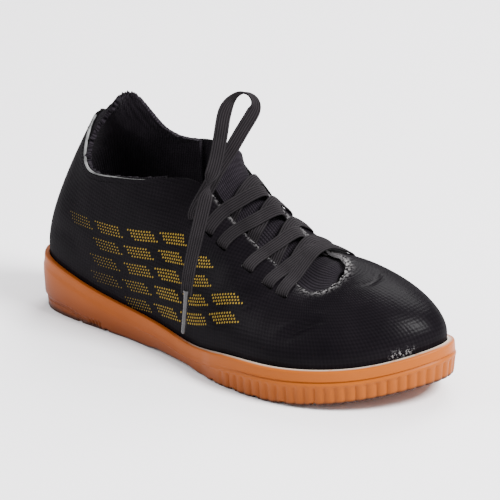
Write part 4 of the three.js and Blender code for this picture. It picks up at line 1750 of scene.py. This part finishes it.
@dataclass
class LaceTip(Part):
    """Film tip round the lace's end, pinched where it starts."""

    end: Array
    direction: Array
    name: str = "lace_tip"
    slot: str = "aglet"
    nodes: tuple[str, ...] = ("aglet",)
    sharp: float = 50.0
    radius: float = 1.35
    sides: int = 20
    swell: tuple[Knot, ...] = (
        (-2.2, 1.32), (-2.0, 1.4), (-1.0, 1.3), (1.0, 1.12), (4.0, 1.0), (9.0, 0.96), (14.0, 0.98),
        (19.0, 1.0), (22.0, 0.96), (22.7, 0.85), (23.0, 0.6),
    )

    def mesh(self) -> Mesh:
        """Makes the tip's tube.

        Returns:
            The bmesh, in metres.
        """
        ways, swell = np.array(self.swell).T[:, :, None]
        centres, radii = even_path(self.end + self.direction * ways, 0.5, 0, swell * self.radius)
        return tube_mesh(centres, radii[:, 0], self.sides)


@dataclass
class LaceEnd(Part):
    """Free end of the lace: out of the top outer slot, over an arch and down the outer side."""

    face: Vector
    name: str = "lace_free_end"
    slot: str = "lace"
    nodes: tuple[str, ...] = ("lace_end",)
    sharp: float = 60.0
    width: float = 8.0
    spacing: float = 0.9
    passes: int = 8
    route: tuple[tuple[float, float, float], ...] = (
        (80, -26.8, 87), (84, -26, 94), (88, -24, 102), (91, -20, 111), (94, -14, 120), (97, -7, 131),
        (99.5, -1, 140), (100.5, 1, 146), (99, -2, 151.5), (95.5, -6, 153), (92, -10, 149), (91, -14, 142.5),
        (92.5, -18, 135), (94.5, -23, 125), (96, -28, 116), (97, -34, 106.5), (98, -40, 94),
        (98.5, -45.5, 81), (98, -49.5, 68), (97.5, -52, 58), (96.9, -53, 48),
    )
    twists: tuple[Knot, ...] = (
        (0.0, -30.0), (0.1, 0.0), (0.35, 20.0), (0.405, 75.0), (0.45, 110.0), (0.5, 165.0), (0.56, 180.0),
        (0.67, 182.0), (0.705, 270.0), (0.74, 358.0), (0.85, 375.0), (1.0, 395.0),
    )

    def centres(self) -> Array:
        """Even points along the route.

        Returns:
            The points in millimetres, from the slot to the tip.
        """
        at = np.array([SLOTS[-1].outer])
        place, normal = LAST.shell(at, SLOT_SHARE)[0], LAST.shell_normal(at, SLOT_SHARE)[0]
        corners = np.vstack([place + normal * 2 * SEAT_GAP, place + normal * 3.0 + [0, 0, 1.5], self.route])
        dense = np.linspace(0, len(corners) - 1, 600)
        curve = np.stack([SmoothRun(column, False)(dense) for column in corners.T], -1)
        return even_path(curve, self.spacing, self.passes)[0]

    def mesh(self) -> Mesh:
        """Makes the strip, which faces one way where it isn't twisted.

        Returns:
            The bmesh, in metres.
        """
        centres = self.centres()
        along = tangents(centres)
        flat = unit(np.cross(along, np.array(self.face)))
        turn = np.radians(np.interp(np.linspace(0, 1, len(centres)), *zip(*self.twists)))[:, None]
        across = flat * np.cos(turn) + np.cross(along, flat) * np.sin(turn)
        return Ribbon(centres, across, self.width).build()

    def hang(self, strip: Piece, film: Material) -> None:
        """Args:
            strip: the finished strip; not used.
            film: the tip's finish.
        """
        centres = self.centres()
        tip = LaceTip(centres[-1], tangents(centres)[-1]).build(film)


@dataclass
class Piping(Part):
    """Rolled edge that sits on the collar, thicker round the heel and tapered at its ends."""

    name: str
    nodes: tuple[str, ...]
    first: float
    last: float
    slot: str = "piping"
    sharp: float = 60.0
    thick: float = 0.85
    thin: float = 0.42
    gap: float = 0.06
    end_share: float = 0.3
    points: int = 180
    sides: int = 14

    def mesh(self) -> Mesh:
        """Makes the edge's tube.

        Returns:
            The bmesh, in metres.
        """
        stations = np.linspace(self.first, self.last, self.points)
        inside = LAST.shell(stations, 1.0) - LAST.shell_normal(stations, 1.0) * self.thick
        from_end = np.max(np.abs(stations)) - np.abs(stations)
        radii = self.thin + (self.thick - self.thin) * smoothstep(np.abs(stations), 3.0, 1.6)
        radii *= self.end_share + (1 - self.end_share) * smoothstep(from_end, 0.0, 0.9)
        centres = inside + LAST.edge_tangent(stations) * (self.gap + radii)[:, None]
        return tube_mesh(centres, radii, self.sides)


@dataclass
class Stitches(Part):
    """Row of short stitches below the collar's edge."""

    name: str
    first: float
    last: float
    slot: str = "woven"
    nodes: tuple[str, ...] = ()
    sharp: float = 80.0
    below: float = 2.8
    pitch: float = 2.4
    length: float = 1.5
    thickness: float = 0.64

    def mesh(self) -> Mesh:
        """Makes the row, one small ball drawn long for each stitch.

        Returns:
            The bmesh, in metres.
        """
        dense = np.linspace(self.first, self.last, 400)
        edge = LAST.shell(dense, 1.0) - LAST.edge_tangent(dense) * self.below
        points, normals = even_path(edge, self.pitch, 0, LAST.shell_normal(dense, 0.96))
        half, thin = self.length / 2 * MM, self.thickness / 2 * MM
        size = Matrix.Diagonal((half, thin, thin, 1))
        bm = bmesh.new()
        for point, way, normal in zip(points, tangents(points), unit(normals)):
            turn = placed(point, way, np.cross(normal, way), normal)
            bmesh.ops.create_icosphere(bm, subdivisions=1, radius=1.0, matrix=turn @ size)
        return bm


@dataclass(frozen=True)
class PhotoView:
    """Camera at the photograph's place, turned about itself and brought closer by its lens."""

    azimuth: float = 41.17
    elevation: float = 18.74
    roll: float = 0.14
    distance: float = 1534.0
    target: tuple[float, float, float] = (93.0, 0.0, 40.0)
    right_shift: float = 41.71
    up_shift: float = 29.88
    focal: float = 1932.8
    centre: tuple[float, float] = (-50.0, -15.0)
    closer: float = 1.4
    image: float = 500.0
    sensor: float = 36.0
    far: float = 50.0

    def axes(self) -> tuple[Vector, Vector, Vector]:
        """Directions of the camera.

        Returns:
            Its right, up and back.
        """
        a, e, r = (math.radians(value) for value in (self.azimuth, self.elevation, self.roll))
        right = Vector((math.cos(a), math.sin(a), 0))
        back = Vector((math.sin(a) * math.cos(e), -math.cos(a) * math.cos(e), math.sin(e)))
        up = back.cross(right)
        return right * math.cos(r) - up * math.sin(r), right * math.sin(r) + up * math.cos(r), back

    def build(self) -> None:
        """Makes the camera and gives it to the scene."""
        right, up, back = self.axes()
        data = bpy.data.cameras.new("photo_view")
        data.lens = self.focal * self.closer * self.sensor / self.image
        data.sensor_width = self.sensor
        data.clip_end = self.far
        camera = bpy.data.objects.new("photo_view", data)
        bpy.context.collection.objects.link(camera)
        place = Vector(self.target) + back * self.distance + right * self.right_shift + up * self.up_shift
        aim = (back * self.focal - right * self.centre[0] - up * self.centre[1]).normalized()
        right = up.cross(aim).normalized()
        turn = Matrix((right, aim.cross(right), aim)).transposed().to_4x4()
        camera.matrix_world = Matrix.Translation(place * MM) @ turn
        bpy.context.scene.camera = camera


@dataclass(frozen=True)
class Studio:
    """Pale floor and soft light."""

    floor_tone: Tone = srgb(243, 241, 243)
    floor_cloud: Tone = srgb(240, 238, 240)
    floor_half: float = 20.0
    floor_gap: float = 0.05
    world_tone: Tone = srgb(246, 246, 248)
    world_strength: float = 1.25
    aim: tuple[float, float, float] = (0.09, 0.0, 0.05)
    lamps: tuple[tuple[str, tuple[float, float, float], float, float], ...] = (
        ("key", (1.7, 0.3, 1.7), 0.8, 165.0), ("fill", (-1.3, -1.3, 1.2), 1.2, 22.0),
        ("back", (-0.5, 1.6, 1.6), 1.2, 60.0),
    )

    def build(self) -> None:
        """Makes floor, world and lamps, each lamp of a name, place, size and power."""
        bm = bmesh.new()
        bmesh.ops.create_grid(bm, x_segments=2, y_segments=2, size=self.floor_half)
        bmesh.ops.translate(bm, vec=Vector((0, 0, -self.floor_gap * MM)), verts=bm.verts)
        floor = finish_mesh(bm, "floor")
        graph = Graph("floor")
        tone = graph.mix(graph.noise(400, 2), self.floor_tone, self.floor_cloud)
        floor.data.materials.append(graph.finish(Base_Color=tone, Roughness=0.8, Specular_IOR_Level=0.15))
        world = bpy.data.worlds.new("studio")
        world.use_nodes = True
        world.node_tree.nodes["Background"].inputs["Color"].default_value = self.world_tone
        world.node_tree.nodes["Background"].inputs["Strength"].default_value = self.world_strength
        bpy.context.scene.world = world
        for name, place, size, power in self.lamps:
            data = bpy.data.lights.new(name, "AREA")
            data.energy, data.size = power, size
            lamp = bpy.data.objects.new(name, data)
            lamp.location = place
            lamp.rotation_euler = (Vector(self.aim) - Vector(place)).to_track_quat("-Z", "Y").to_euler()
            bpy.context.collection.objects.link(lamp)


def main() -> None:
    """Builds the shoe, piece by piece."""
    logging.basicConfig(level=logging.INFO, format="%(name)s %(message)s")
    view = PhotoView()
    view.build()
    lace, knit = LaceFinish().material(), KnitFinish().material()
    film = PlainFinish("tip_film", srgb(34, 33, 34), srgb(24, 23, 24), 0.18, 6.0).material()
    rolled = PlainFinish("rolled_edge", srgb(104, 104, 104), srgb(58, 58, 58), 0.35, 9.0, 0.3).material()
    dull = PlainFinish("rolled_edge_dull", srgb(34, 33, 34), srgb(16, 15, 16), 0.7, 9.0, 0.03).material()
    thread = PlainFinish("thread", srgb(20, 19, 20), srgb(8, 8, 9), 0.9, 2.0, 0.03).material()
    # painted shade: the footbed gets a near-black tone for the shadow inside the shoe
    footbed = PlainFinish("footbed", srgb(8, 8, 9), srgb(16, 15, 17), 0.95, 1.6, 0.02).material()
    free_end = LaceEnd(view.axes()[2])
    free_end.hang(free_end.build(lace), film)
    Studio().build()
    for part, *finishes in (
        (Outsole(), GumFinish().material()),
        (Upper(), WovenFinish().material(), CutEdgeFinish().material(), knit),
        (SockLining(), knit),
        (Tongue(), KnitFinish("tongue_knit", depth=0.3).material()),
        (Lacing(), lace),
        (Piping("rolled_edge_outer", ("collar_piping_outer",), 0.2, 3.9), rolled),
        (Piping("rolled_edge_inner", ("collar_piping_inner",), -5.2, -0.2), dull),
        (Stitches("collar_stitches_outer", 0.5, 4.6), thread),
        (Stitches("collar_stitches_inner", -0.5, -4.6), thread),
    ):
        part.build(*finishes)
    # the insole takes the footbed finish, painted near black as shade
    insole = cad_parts["insole"]
    insole.data.materials.clear()
    insole.data.materials.append(footbed)


if __name__ == "__main__":
    main()
